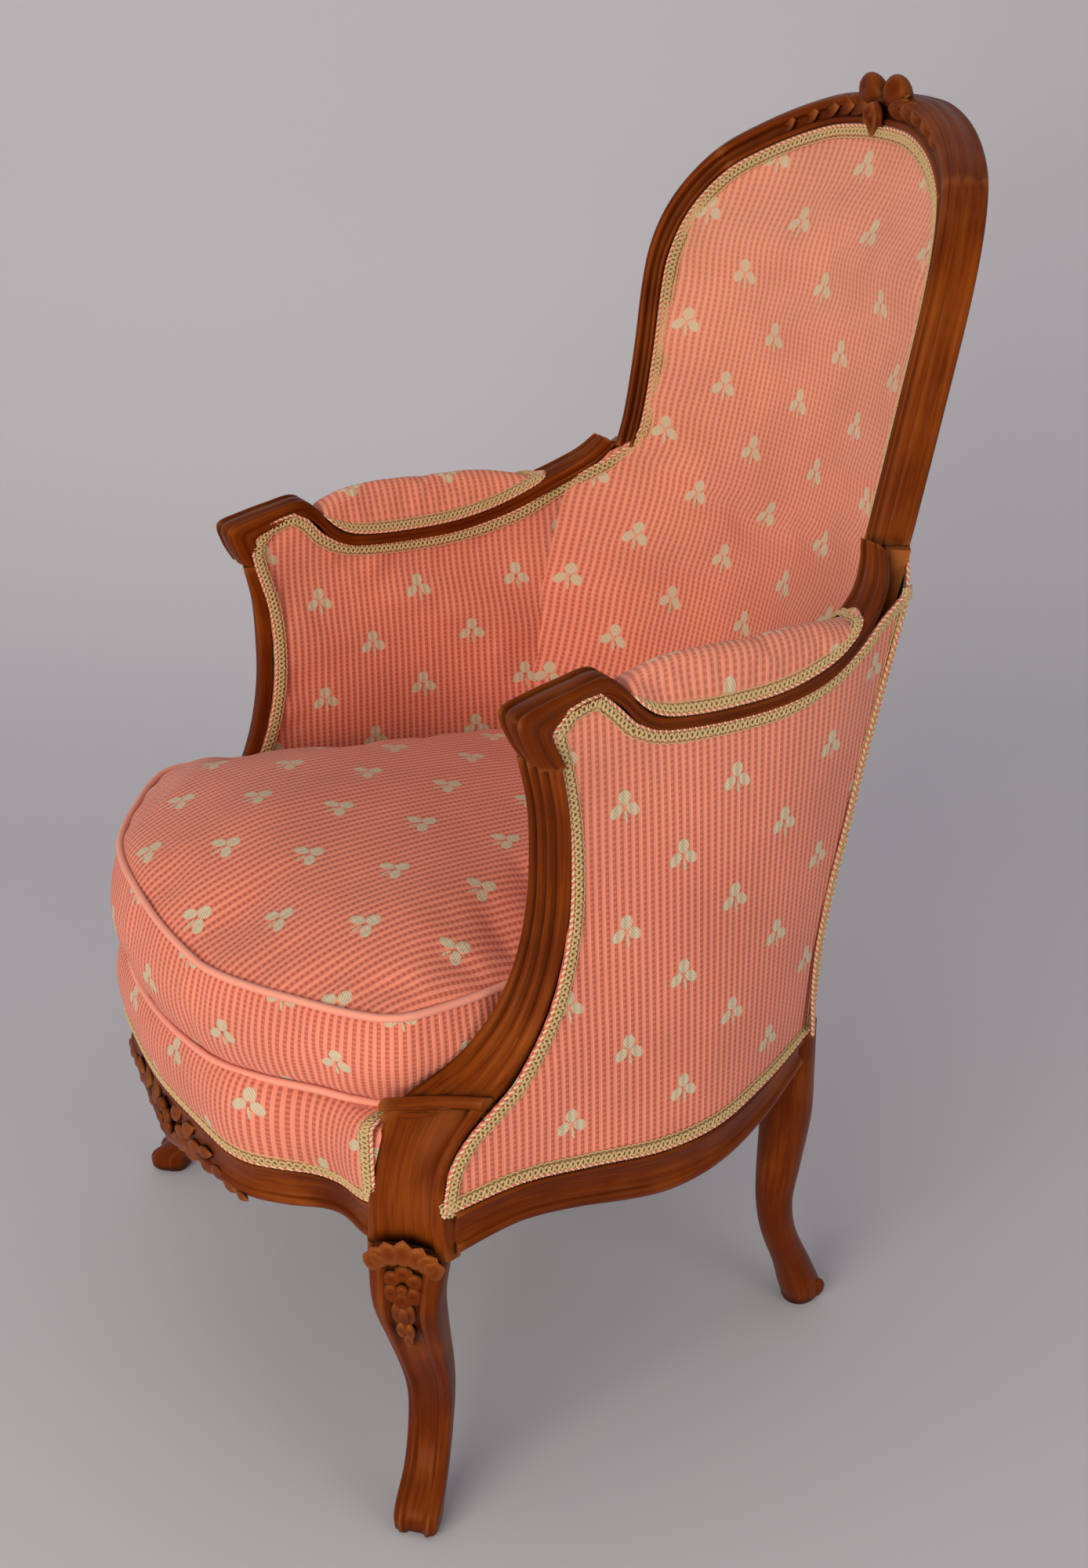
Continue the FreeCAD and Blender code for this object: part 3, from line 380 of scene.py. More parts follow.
mesh = bmesh.new()
top = on_back(0, 1013, 8)
front = Vector((0, -0.97, -0.2)).normalized()
upward = Vector((0, 0.22, 0.97)).normalized()
for side in (1, -1):
    tilt = (upward + Vector((0.35 * side, 0, 0))).normalized()
    bud(mesh, top + Vector((0.0145 * side, -0.002, 0.001)), (front + tilt).normalized(), tilt,
        16, 0.95)
    for swing, size in ((0.5, 15), (1.1, 13), (1.9, 12)):
        way = Vector((math.sin(swing) * side, 0, math.cos(swing))).normalized()
        leaf(mesh, top + Vector((0.012 * side, -0.008, -0.006)), way, front, size + 9, 11, 8, 0.1)
    for step in range(5):
        index = len(opening) - 4 - step * 4
        here = opening[index]
        ahead = (opening[index - 3] - here).normalized()
        base = on_back(here.x, here.y + 14, -0.5)
        base = Vector((side * base.x, base.y, base.z))
        way = Vector((side * ahead.x, 0.2 * ahead.y, ahead.y))
        for fan in (0.3, -0.3):
            lean = way + Vector((0, 0, fan))
            leaf(mesh, base, lean.normalized(), (front + upward * 0.3).normalized(),
                 27 - 2 * step, 8, 5, 0.03, 0.2)
for swing in (-0.5, 0, 0.5):
    way = Vector((math.sin(swing), -0.15, -math.cos(swing))).normalized()
    leaf(mesh, top + Vector((0, -0.013, -0.002)), way, front, 29 - abs(swing) * 12, 11, 9, 0.05)
mesh.loops.layers.uv.new("Grain")
new_piece("crest_carving", mesh, stained_beech)


# Rear legs and posts.
# One plank each, sawn to shape: the cabriole leg sweeps back to a scrolled foot, and the
# covered post above it carries the arm and the back.

rear_leg_line = [
    (0, 1, 13), (3, 2.2, 15.5), (7, 3, 17), (14, 2, 18.3), (21, 0, 18.5), (45, -9, 16.5),
    (83, -25, 15), (118, -31, 15.5), (157, -28, 18.5), (206, -23, 21.5), (245, -23, 22),
    (297, -21, 20)]
leg_round = [(math.cos(math.radians(a)), math.sin(math.radians(a))) for a in range(0, 360, 12)]
for side, word in sides_of_chair:
    mesh = bmesh.new()
    sections = []
    for height, back, half in through(rear_leg_line, 4):
        ridge = 1 + 0.05 * math.exp(-((height - 120) / 90) ** 2)
        sections.append([spot(
            side * (203 - 3 * height / 300
                    + (c * half * 1.05 * abs(c) ** -0.12 if abs(c) > 0.01 else 0)),
            147 + back + s * half * ridge * (1 - 0.1 * c * c), height) for c, s in leg_round])
    bar(mesh, sections)
    for face in (1, -1):
        made = bmesh.ops.create_uvsphere(mesh, u_segments=20, v_segments=10, radius=1)["verts"]
        for v in made:
            v.co = spot(side * 203 + face * (14 + 4.5 * v.co.x), 158 + 9 * v.co.y,
                        14 + 9.5 * v.co.z)
    post = []
    corners = ((168, 14.8), (194, 14.8), (195, 33.8), (168, 33.8))
    for height in (290, 350, 400, 450, 500, 550, 600, 650, 680, 700):
        places = [on_back(half, height, depth) for half, depth in corners]
        post.append([Vector((side * p.x, p.y, p.z)) for p in places])
    bar(mesh, post)
    new_piece("rear_leg_" + word, mesh, stained_beech, "rear_post_" + word)


# Front legs.
# Cabriole legs with a moulded edge each side of a hollow face, a scroll toe, and a square
# block above the knee that carries the arm's upright; the knee is carved with a shell, a
# blossom and a drop of bellflowers.

leg_line = [
    (0, 2, -1, 14, 14), (3, 2.6, -1, 16.5, 16), (7, 3, -1, 18.2, 17.2), (20, 0, -1, 18, 18),
    (40, -20, -1.5, 14, 17), (66, -33, -2, 13.5, 17), (100, -36, -1, 14.5, 17.5),
    (130, -31, -1.5, 16.5, 19), (165, -23, -4.5, 20, 21.5), (205, -15, -8, 24, 25.5),
    (235, -18, -8, 23.5, 29), (256, -21, -8, 20.5, 31)]
leg_half = [
    (0.86, 0), (0.84, 0.2), (0.86, 0.4), (0.93, 0.48), (1.02, 0.56), (1.03, 0.68),
    (0.93, 0.76), (0.9, 0.84), (0.84, 0.94), (0.6, 1.02), (0.2, 1), (-0.3, 0.95),
    (-0.75, 0.78), (-0.97, 0.4), (-1, 0)]
leg_face = profile(leg_half + [(d, -w) for d, w in leg_half[-2:0:-1]])
outward = Vector((1, -1, 0)).normalized()
crosswise = Vector((1, 1, 0)).normalized()
foot = Vector((276, -270, 0))
block_face = profile([
    (0.0, 0.0), (0.05, -1.2), (0.1, -1.6), (0.15, -0.6), (0.2, 1.6), (0.3, 3.3), (0.5, 4.5),
    (0.7, 3.3), (0.8, 1.6), (0.85, -0.6), (0.9, -1.6), (0.95, -1.2), (1.0, 0.0), (1.01, 6.0),
    (1.0, 12.0), (0.86, 13.0), (0.83, 22.0), (0.8, 34.0), (0.5, 34.2), (0.2, 34.0),
    (0.17, 22.0), (0.14, 13.0), (0.0, 12.0), (-0.01, 6.0)])
block_line = [(250, 244, -292, 291, -250), (290, 245, -291, 290, -254),
              (330, 247, -284, 287, -246), (366, 247, -275, 284, -214)]


def block_station(key, outline, lean):
    """A section of the block or the upright between its inner and outer front edges."""
    height, ax, ay, bx, by = key
    a, b = Vector((ax, ay, height)), Vector((bx, by, height))
    rear = Vector((lean, 1, 0)).normalized()
    return [spot(*(a + (b - a) * u + rear * v)) for u, v in outline]


def knee(height, across, proud=0.0):
    """A point on the face of the front leg's knee."""
    out = value_at([(k[0], k[1] + 0.86 * k[3]) for k in leg_line], height)
    off = value_at([(k[0], k[2]) for k in leg_line], height)
    p = foot + outward * (out + proud) + crosswise * (off + across)
    return spot(p.x, p.y, height)


def blossom(mesh, on_face, height, petals, radius, flat, heart, out):
    """Six petals round a heart; petals is the (up, across, proud) of their ring's radius."""
    for i in range(6):
        swing = math.radians(60 * i)
        place = on_face(height + petals[0] * math.cos(swing), petals[1] * math.sin(swing),
                        petals[2])
        bud(mesh, place, out, up, radius, flat)
    bud(mesh, on_face(height, 0, heart[0]), out, up, heart[1])


for side, word in sides_of_chair:
    mesh = bmesh.new()
    sections = []
    for height, out, off, deep, wide in through(leg_line, 4):
        middle = foot + outward * out + crosswise * off + Vector((0, 0, height))
        sections.append([spot(*(middle + outward * d * deep + crosswise * w * wide))
                         for d, w in leg_face])
    bar(mesh, sections)
    bar(mesh, [block_station(key, block_face, -0.25) for key in through(block_line, 4)])
    # the mouldings that close the block under the upright
    for height, size in ((369, 5.5), (358.5, 4)):
        a, b = (Vector(p) for p in ((247, -278, height), (284, -214, height)))
        rear = Vector((-0.2, 1, 0)).normalized()
        rings = []
        for i in range(13):
            u = i / 12
            middle = a + (b - a) * u + rear * (4.5 * math.sin(math.pi * u) + 1.5)
            rings.append([spot(*(middle + (rear * math.cos(math.pi * k / 6)
                                           + up * math.sin(math.pi * k / 6)) * size))
                          for k in range(12)])
        bar(mesh, rings)
    # scroll toe
    for turn in (1, -1):
        made = bmesh.ops.create_uvsphere(mesh, u_segments=20, v_segments=10, radius=1)["verts"]
        for v in made:
            p = foot + outward * (10 + 9 * v.co.y) + crosswise * (turn * (11 + 6 * v.co.x) - 1)
            v.co = spot(p.x, p.y, 10 + 9.5 * v.co.z)
    # shell, blossom and bellflowers on the knee
    for swing in (-1.3, -0.87, -0.43, 0, 0.43, 0.87, 1.3):
        way = crosswise * math.sin(swing) + up * math.cos(swing)
        leaf(mesh, knee(243, 14 * math.sin(swing), 2), way, outward,
             24 - 5 * abs(math.sin(swing)), 17, 8, -0.05, 0.2)
    blossom(mesh, knee, 226, (10.5, 10, 0.5), 8.2, 0.42, (3, 4.6), outward)
    for height, across, long, wide in ((216, -4, 27, 9), (216, 4, 25, 9), (213, 0, 30, 8),
                                       (196, -3, 18, 7), (195, 3, 18, 7), (184, 0, 17, 7)):
        way = (-up + crosswise * across * 0.012 - outward * 0.12).normalized()
        leaf(mesh, knee(height, across, 1.5), way, outward, long, wide, 6, 0.05, 0.2)
    new_piece("front_leg_wood_" + word, mesh, stained_beech, "front_leg_" + word, side=side)


# Seat rails.
# Bowed and moulded beech rails with a shaped lower edge, tenoned into the leg blocks; the
# front one is carved with a blossom and two leaf sprays.

front_plan = [
    (-250, -284), (-236, -290), (-205, -293.5), (-181, -304.2), (-160, -323.4), (-137, -341.1),
    (-106, -351.1), (0, -361), (106, -351.1), (137, -341.1), (160, -323.4), (181, -304.2),
    (205, -293.5), (236, -290), (250, -284)]
front_top = [(0, 279), (60, 279), (129, 276), (180, 279), (221, 283), (256, 288)]
front_bottom = [(0, 220), (25, 228), (45, 235), (82, 237), (122, 242), (167, 245), (200, 251),
                (256, 252)]
side_plan = [(-260, 290), (-190, 293), (-130, 296), (-68, 298), (-11, 290), (45, 268.6),
             (90, 244.8), (118, 228), (150, 211.2), (200, 190)]
side_top = [(-260, 288), (-190, 298), (-130, 294), (-68, 288), (-11, 288), (50, 294),
            (118, 298), (150, 300)]
side_bottom = [(-260, 248), (-217, 260), (-187, 265), (-145, 262), (-100, 254), (-55, 249),
               (5, 253), (60, 262), (100, 270), (150, 274)]
rail_face = profile([
    (0.0, 1.0), (-1.2, 0.96), (-1.7, 0.9), (-0.6, 0.86), (0.9, 0.82), (1.9, 0.68), (2.3, 0.5),
    (1.8, 0.36), (0.6, 0.28), (-0.8, 0.25), (-2.0, 0.18), (-1.9, 0.1), (-0.4, 0.03),
    (2.4, 0.0), (14.0, 0.01), (27.0, 0.02)])


def square_to(plan, at, forward=True):
    """The direction square to a plan line; forward swaps which way the line runs."""
    rise = value_at(plan, at + 1) - value_at(plan, at - 1)
    return Vector((rise, -2) if forward else (2, -rise)).normalized()


def rail_station(foot, normal, low, high):
    """A section of a seat rail: the moulded face, then the tongue behind the covers."""
    outline = [(u, low + (high - low) * v) for u, v in rail_face]
    outline += [(27, high + 16), (8, high + 16), (8, high)]
    return [spot(foot.x - normal.x * u, foot.y - normal.y * u, z) for u, z in outline]


mesh = bmesh.new()
bar(mesh, [rail_station(Vector((x, value_at(front_plan, x))), square_to(front_plan, x),
                        value_at(front_bottom, abs(x)), value_at(front_top, abs(x)))
           for x in (-244 + 488 * i / 80 for i in range(81))])


def on_front_rail(z, x, proud=0.0):
    """A point on the face of the front rail."""
    return spot(x, value_at(front_plan, x) - proud, z)


forward = Vector((0, -1, 0))
blossom(mesh, on_front_rail, 247, (10, 10, 1.5), 6.8, 0.62, (4, 4.8), forward)
for side in (1, -1):
    for x, z, turn, long, wide in (
            (15, 254, 0.75, 22, 12), (15, 240, -0.7, 20, 12), (20, 247, 0.0, 26, 12),
            (37, 254, 0.5, 20, 11), (38, 240, -0.45, 18, 10), (46, 247, 0.05, 24, 11),
            (64, 250, 0.25, 22, 9), (66, 242, -0.2, 20, 8), (84, 245, 0.0, 24, 9),
            (104, 243, 0.0, 21, 8), (122, 242, 0.0, 16, 6)):
        way = Vector((side * math.cos(turn), 0.12, math.sin(turn))).normalized()
        leaf(mesh, on_front_rail(z, side * x, 0.2), way, forward, long, wide, 7, 0.03, 0.15)
new_piece("front_rail_wood", mesh, stained_beech, "front_rail")

for side, word in sides_of_chair:
    mesh = bmesh.new()
    bar(mesh, [rail_station(Vector((value_at(side_plan, y), y)), square_to(side_plan, y, False),
                            value_at(side_bottom, y), value_at(side_top, y))
               for y in (-243 + 355 * i / 48 for i in range(49))])
    new_piece("side_rail_wood_" + word, mesh, stained_beech, "side_rail_" + word, side=side)


# Arms and their uprights.
# Beech again: the reeded upright sweeps back and up from the block to a scrolled knuckle,
# and the arm dips behind its peak to make a bed for the pad.

upright_line = [
    (366, 248, -275, 283.5, -214), (376, 248, -255, 283.5, -198), (387, 248, -229, 283.5, -189),
    (402, 248, -207, 283.5, -179), (426, 248, -186, 283.5, -167), (460, 248, -170, 283.5, -156),
    (500, 248, -161, 283.5, -149), (540, 248, -158.5, 283.5, -147.5),
    (580, 248, -160, 283.5, -149), (618, 248, -168, 283.5, -155)]
reeds = profile([
    (0.0, 2.6), (0.03, 0.2), (0.1, -0.9), (0.17, 0.2), (0.21, 1.8), (0.25, 0.2), (0.33, -1.6),
    (0.41, 0.0), (0.46, 1.5), (0.5, 0.2), (0.58, -1.6), (0.66, -0.2), (0.71, 1.6), (0.76, 0.2),
    (0.84, -1.2), (0.92, 0.2), (0.97, 1.4), (1.0, 3.0), (1.0, 4.6), (0.96, 5.4),
    (0.84, 6.0), (0.74, 18.0), (0.72, 30.0), (0.5, 30.2), (0.28, 30.0), (0.26, 20.0),
    (0.22, 13.0), (0.0, 12.0), (-0.01, 7.0)])
arm_stations = [
    (-131, 618, -167, 618, 265.8, 17.8), (-134, 627, -177, 636, 264, 18),
    (-136, 634, -181, 655, 262, 17.5), (-134, 638, -160, 663, 260.5, 16.5),
    (-126, 642, -134, 669, 260, 16), (-113, 645, -111, 673, 259.5, 15.5),
    (-100, 638, -97, 665, 260, 16), (-88, 625, -84, 651, 260, 17),
    (-70, 615, -67, 639, 260, 17), (-42, 611, -40, 635, 260, 17), (0, 609, 0, 634, 259.5, 17),
    (42, 611, 40, 636, 258, 17), (80, 618, 75, 643, 254.5, 17), (107, 628, 100, 652, 249, 17),
    (132, 641, 124, 665, 240, 17), (157, 656, 147, 678, 228, 16), (178, 674, 164, 692, 213, 15),
    (190, 694, 174, 708, 199, 13)]
arm_half = [
    (0, -0.01), (0.55, 0), (0.58, 0.2), (0.6, 0.42), (0.8, 0.43), (0.99, 0.45), (1.04, 0.5),
    (1.05, 0.58), (0.99, 0.63), (0.98, 0.68), (1.03, 0.74), (1.02, 0.84), (0.93, 0.93),
    (0.78, 0.99), (0.66, 0.97), (0.55, 0.91), (0.4, 0.94), (0.2, 0.985), (0, 0.99)]
arm_face = profile([(-0.55, 0)] + arm_half + [(-u, v) for u, v in arm_half[-2:1:-1]])
for side, word in sides_of_chair:
    mesh = bmesh.new()
    bar(mesh, [block_station(key, reeds, -0.12) for key in through(upright_line, 5)])
    new_piece("arm_upright_wood_" + word, mesh, stained_beech, "arm_stump_" + word, side=side)
    mesh = bmesh.new()
    bar(mesh, [[spot(middle + u * half, ya + (yb - ya) * v, za + (zb - za) * v)
                for u, v in arm_face]
               for ya, za, yb, zb, middle, half in through(arm_stations, 5)])
    new_piece("arm_wood_" + word, mesh, stained_beech, "arm_" + word, side=side)


# Inside back.
# A stuffed pad in the barrel of the frame, covered with a ribbed cotton that has a small
# woven three-leaf figure on a half-drop repeat; it is drawn tight and tacked in a rabbet.

def ripple(tree, source, pitch):
    """A wave from -1 to 1 that repeats at a pitch in millimetres."""
    turned = node(tree, "Math", {"operation": "MULTIPLY"}, _0=source, _1=2 * math.pi / pitch)
    return node(tree, "Math", {"operation": "SINE"}, _0=turned)


figured_repp, tree = material("Figured cotton repp")
# Coral ribs with a dull dotted rib between, and pale sage figures that lie a little proud.
rib_pitch, dot_pitch, hatch_pitch = 6.2, 4.3, 1.9
half_repeat = (49, 48)
# each figure: three oval leaves and a stem, as (across, up, turn, half width, half height)
figure = [(0, 6.8, 0.0, 5.2, 5.6), (-6.8, -2.8, -0.85, 4.3, 6.2), (6.8, -2.8, 0.85, 4.3, 6.2),
          (0.9, -8.0, 0.15, 1.1, 5.2)]
threads = node(tree, "VectorMath", {"operation": "SCALE"},
               _0=node(tree, "UVMap", {"uv_map": "Weave"}), Scale=1000.0)
axes = node(tree, "SeparateXYZ", _0=threads).outputs
rib = ripple(tree, axes["X"], rib_pitch)
dots = ripple(tree, axes["Y"], dot_pitch)
band = node(tree, "MapRange", Value=rib, From_Min=-0.3, From_Max=0.3)
dotted = node(tree, "MapRange", Value=dots, From_Min=-0.2, From_Max=0.4)
cloud = node(tree, "TexNoise", Vector=threads, Scale=0.012, Detail=3)
slub = node(tree, "TexNoise", Vector=threads, Scale=0.9, Detail=2)
dull = mix(tree, dotted, linear("#B75A45"), linear("#CF7159"))
ground = mix(tree, band, dull, linear("#E98C72"))
mask = 0
for drop in ((0, 0, 0), (*half_repeat, 0)):
    moved = node(tree, "VectorMath", {"operation": "ADD"}, _0=threads, _1=drop)
    cell = node(tree, "VectorMath", {"operation": "WRAP"}, _0=moved, _1=(*half_repeat, 1),
                _2=(-half_repeat[0], -half_repeat[1], 0))
    for across, above, turn, wide, tall in figure:
        oval = node(tree, "Mapping", {"vector_type": "TEXTURE"}, Vector=cell,
                    Location=(across, above, 0), Rotation=(0, 0, turn), Scale=(wide, tall, 1))
        reach = node(tree, "VectorMath", {"operation": "LENGTH"}, _0=oval)
        inside = node(tree, "MapRange", Value=reach, From_Min=1.06, From_Max=0.9)
        mask = node(tree, "Math", {"operation": "MAXIMUM"}, _0=mask, _1=inside)
slant = node(tree, "VectorMath", {"operation": "DOT_PRODUCT"}, _0=threads, _1=(0.8, 0.6, 0))
tone = node(tree, "MapRange", Value=ripple(tree, slant, hatch_pitch), From_Min=-1)
sage = mix(tree, tone, linear("#B9A384"), linear("#D2C6A8"))
woven = mix(tree, mask, ground, sage)
faded = node(tree, "MapRange", Value=cloud, From_Min=0.3, From_Max=0.7, To_Min=0.9, To_Max=1.05)
# painted light: the cloth turns paler higher up, above half a metre, standing for the brighter
# light on the upper back
height = node(tree, "SeparateXYZ", _0=node(tree, "TexCoord").outputs["Object"]).outputs["Z"]
painted_light_above = node(tree, "MapRange", Value=height, From_Min=0.5, From_Max=0.85, To_Max=0.22)
weave_with_painted_light = mix(tree, painted_light_above, woven, linear("#EFC09A"))
toned_with_painted_light = mix(tree, 1.0, weave_with_painted_light, faded, "MULTIPLY")
relief = rib
for part, weight in ((dots, 0.25), (mask, 1.2), (slub, 0.8)):
    relief = node(tree, "Math", {"operation": "MULTIPLY_ADD"}, _0=part, _1=weight, _2=relief)
bump = node(tree, "Bump", Height=relief, Strength=0.35, Distance=0.0008)
surface(tree, Base_Color=toned_with_painted_light, Roughness=0.82, Normal=bump, Sheen_Weight=0.15)


def along_side(points, share):
    """The point at a share of a line's length."""
    steps = [(b - a).length for a, b in zip(points, points[1:])]
    goal = share * sum(steps)
    for a, b, step in zip(points, points[1:], steps):
        if goal <= step:
            return a.lerp(b, goal / max(step, 1e-9))
        goal -= step
    return points[-1].copy()


def panel(mesh, sides, lift, count):
    """A cloth within four sides (foot, right, top, left); lift(a, b, share) places it, where
    share is 0 in the middle and 1 at the edge."""
    layer = mesh.loops.layers.uv.get("Weave") or mesh.loops.layers.uv.new("Weave")
    made = bmesh.ops.create_grid(mesh, x_segments=count, y_segments=count, size=1)["verts"]
    heart = sum((along_side(sides[i], 0.5) for i in (0, 2, 1, 3)), Vector((0, 0))) / 4
    near = 1e-5
    flats = {}
    for v in made:
        share = max(abs(v.co.x), abs(v.co.y))
        p, q = (v.co.x / share, v.co.y / share) if share > near / 10 else (0, -1)
        if q <= near - 1:
            index, run = 0, 1 + p
        elif p >= 1 - near:
            index, run = 1, 1 + q
        elif q >= 1 - near:
            index, run = 2, 1 - p
        else:
            index, run = 3, 1 - q
        flats[v] = heart.lerp(along_side(sides[index], run / 2), share)
        v.co = lift(flats[v].x, flats[v].y, share)
    for face in {f for v in made for f in v.link_faces}:
        for loop in face.loops:
            loop[layer].uv = flats[loop.vert] / 1000


def rim_of(mesh):
    """The indices of a mesh's boundary vertices, where the cover is sewn or tacked."""
    mesh.verts.index_update()
    return [v.index for v in mesh.verts if v.is_boundary]


def stuff(piece, pinned, pressure, slack, limit, frames=16):
    """Presses a cover out against its seams as stuffing does, and keeps the shape it takes;
    no point moves further than the limit."""
    group = piece.vertex_groups.new(name="Seams")
    group.add(pinned, 1.0, "REPLACE")
    cloth = piece.modifiers.new("Stuffing", "CLOTH")
    settings = cloth.settings
    for key, value in (("vertex_group_mass", "Seams"), ("use_pressure", True),
                       ("uniform_pressure_force", pressure), ("shrink_min", -slack),
                       ("mass", 0.4), ("tension_stiffness", 25),
                       ("compression_stiffness", 25), ("bending_stiffness", 1.5)):
        setattr(settings, key, value)
    settings.effector_weights.gravity = 0
    cloth.collision_settings.use_collision = False
    cloth.point_cache.frame_end = frames
    for step in range(1, frames + 1):
        bpy.context.scene.frame_set(step)
    shown = piece.evaluated_get(bpy.context.evaluated_depsgraph_get())
    places = [v.co.copy() for v in shown.data.vertices]
    piece.modifiers.remove(cloth)
    bpy.context.scene.frame_set(1)
    for v, p in zip(piece.data.vertices, places):
        move = p - v.co
        v.co += move * min(1.0, limit / max(move.length, 1e-9))
    piece.vertex_groups.clear()
    piece.data.update()


def finish_cloth(piece, thick=0.0):
    """Rounds a cover off after its stuffing, and gives it a thickness if asked."""
    piece.data.shade_smooth()
    smooth = piece.modifiers.new("Smooth", "SUBSURF")
    smooth.levels = smooth.render_levels = 1
    if thick:
        cover = piece.modifiers.new("Thickness", "SOLIDIFY")
        cover.thickness = thick
        cover.offset = -1


half_width = [(250, 196), (600, 196), (660, 190), (700, 174), (740, 172), (860, 176),
              (900, 170), (930, 155), (960, 122), (985, 62), (1000, 40)]


def back_sides(inset, low, wide):
    """The four sides of a back panel, inset from the frame's inner edge."""
    edge = []
    for i in range(1, len(opening)):
        ahead = opening[min(i + 1, len(opening) - 1)] - opening[i - 1]
        if i == len(opening) - 1:
            ahead = Vector((-1, 0))
        edge.append(opening[i] - Vector((ahead.y, -ahead.x)).normalized() * inset)
    shoulder = min(range(len(edge)), key=lambda i: abs(edge[i].y - 915))
    right = [Vector((wide + out, high)) for out, high in (
        (12, low), (12, 500), (12, 600), (12, 650), (8, 672), (-8 - inset, 690))]
    right += edge[:shoulder + 1]
    over = edge[shoulder:] + mirrored(edge[shoulder:-1])
    left = mirrored(right)
    return [[left[-1], right[0]], right, over, left]


def back_crown(half, height):
    """How far the pad stands out of the frame."""
    share = min(1.0, abs(half) / value_at(half_width, height))
    top = min(1.0, max(0.0, (crest_height + 4 - height) / 120))
    return 24 * (1 - share ** 4) ** 2 * top * top * (3 - 2 * top)


mesh = bmesh.new()
inside_back_sides = back_sides(0.2, 356, 204)
panel(mesh, inside_back_sides, lambda a, b, share: on_back(a, b, 4.0 - back_crown(a, b)), 56)
seams = rim_of(mesh)
inside_back = new_piece("inside_back_pad", mesh, figured_repp, "inside_back_cover",
                        "back_stuffing")
stuff(inside_back, seams, 2.0, 0.01, 0.008)
finish_cloth(inside_back, 0.0016)


# Outside back.
# One plain piece of the same cloth, stretched flat behind the frame and tacked in the rear
# rabbet and over the posts.

def behind(height):
    """Depth of the outside back: in the rabbet at the top, behind the posts lower down."""
    share = min(1.0, max(0.0, (720 - height) / 60))
    return 27.6 + 10 * share * share * (3 - 2 * share)


mesh = bmesh.new()
rear_sides = back_sides(0.2, 303, 204)
panel(mesh, rear_sides, lambda a, b, share: on_back(a, b, behind(b) + 3 * (1 - share ** 3)), 40)
finish_cloth(new_piece("outside_back_panel", mesh, figured_repp, "outside_back_cover"))


# Arm covers.
# The inside of each arm is stuffed and the outside is stretched plain, both tacked under
# the moulded band of the arm and behind the upright.

arm_outer = [(-260, 282), (-180, 280), (-110, 277), (-50, 277), (10, 276), (50, 274),
             (90, 267), (130, 255), (150, 246), (200, 225)]
under_band = [(-180, 640), (-150, 652), (-116, 661), (-104, 652), (-90, 636), (-70, 626),
              (-42, 622), (0, 620.5), (42, 622), (80, 629), (107, 638), (132, 652), (157, 667),
              (190, 690)]
outer_front = [(250, -259), (290, -254), (326, -247), (352, -229), (378, -196), (402, -179),
               (426, -165), (460, -153), (500, -145), (540, -143), (580, -145), (618, -151),
               (642, -157), (654, -148), (662, -130)]
outer_rear = [(250, 138), (300, 131), (357, 127), (398, 128), (438, 134), (488, 146),
              (538, 155), (587, 167), (660, 184), (700, 193)]
inner_front = [(300, -216), (387, -216), (402, -194), (426, -173), (460, -157), (500, -148),
               (540, -145.5), (580, -149), (618, -159), (640, -160), (660, -142)]


def arm_side(y, z, low_in, high_in, depth):
    """A point of an arm's face, which leans from the side rail's plan out to the arm's."""
    share = min(1.15, max(-0.2, (z - 288) / 334))
    return spot((value_at(side_plan, y) - low_in) * (1 - share)
                + (value_at(arm_outer, y) - high_in) * share - depth, y, z)


def outer_arm(y, z, depth):
    """A point of the outside of the right arm; depth goes inwards."""
    return arm_side(y, z, 0, 0, depth)


def inner_arm(y, z, depth):
    """A point of the inside of the right arm; depth goes outwards."""
    return arm_side(y, z, 51 + 8 * max(0.0, (y - 20) / 100), 34, -depth)


def inner_rear(z):
    """Where the inside of the arm runs in behind the edge of the back's pad."""
    return value_at(back_middle, z) - 196 * 196 / (2 * barrel_radius) + 9


def arm_sides(front, rear, top, foot, inset):
    """The four sides of an arm panel, as (y, z) points."""
    def meet(upright, level, z, step, rise):
        for _ in range(30):
            y = upright(z) + step
            z = level(y) + rise
        return y, z
    ya, za = meet(front, foot, 300, inset, inset)
    yb, zb = meet(rear, foot, 300, -inset, inset)
    yc, zc = meet(rear, top, 660, -inset, -inset)
    yd, zd = meet(front, top, 655, inset, -inset)

    def level_side(line, start, end, rise):
        runs = [start + (end - start) * i / 24 for i in range(25)]
        return [Vector((y, line(y) + rise)) for y in runs]

    def upright_side(line, start, end, step):
        runs = [start + (end - start) * i / 24 for i in range(25)]
        return [Vector((line(z) + step, z)) for z in runs]
    return [level_side(foot, ya, yb, inset), upright_side(rear, zb, zc, -inset),
            level_side(top, yc, yd, -inset), upright_side(front, zd, za, inset)]


def arm_crown(y, z):
    """How far the inside of the arm is stuffed out."""
    along = min(1.0, abs(y + 10) / 145)
    rise = min(1.0, abs(z - 475) / 145)
    return 12 * (1 - along ** 4) ** 2 * (1 - rise ** 4) ** 2


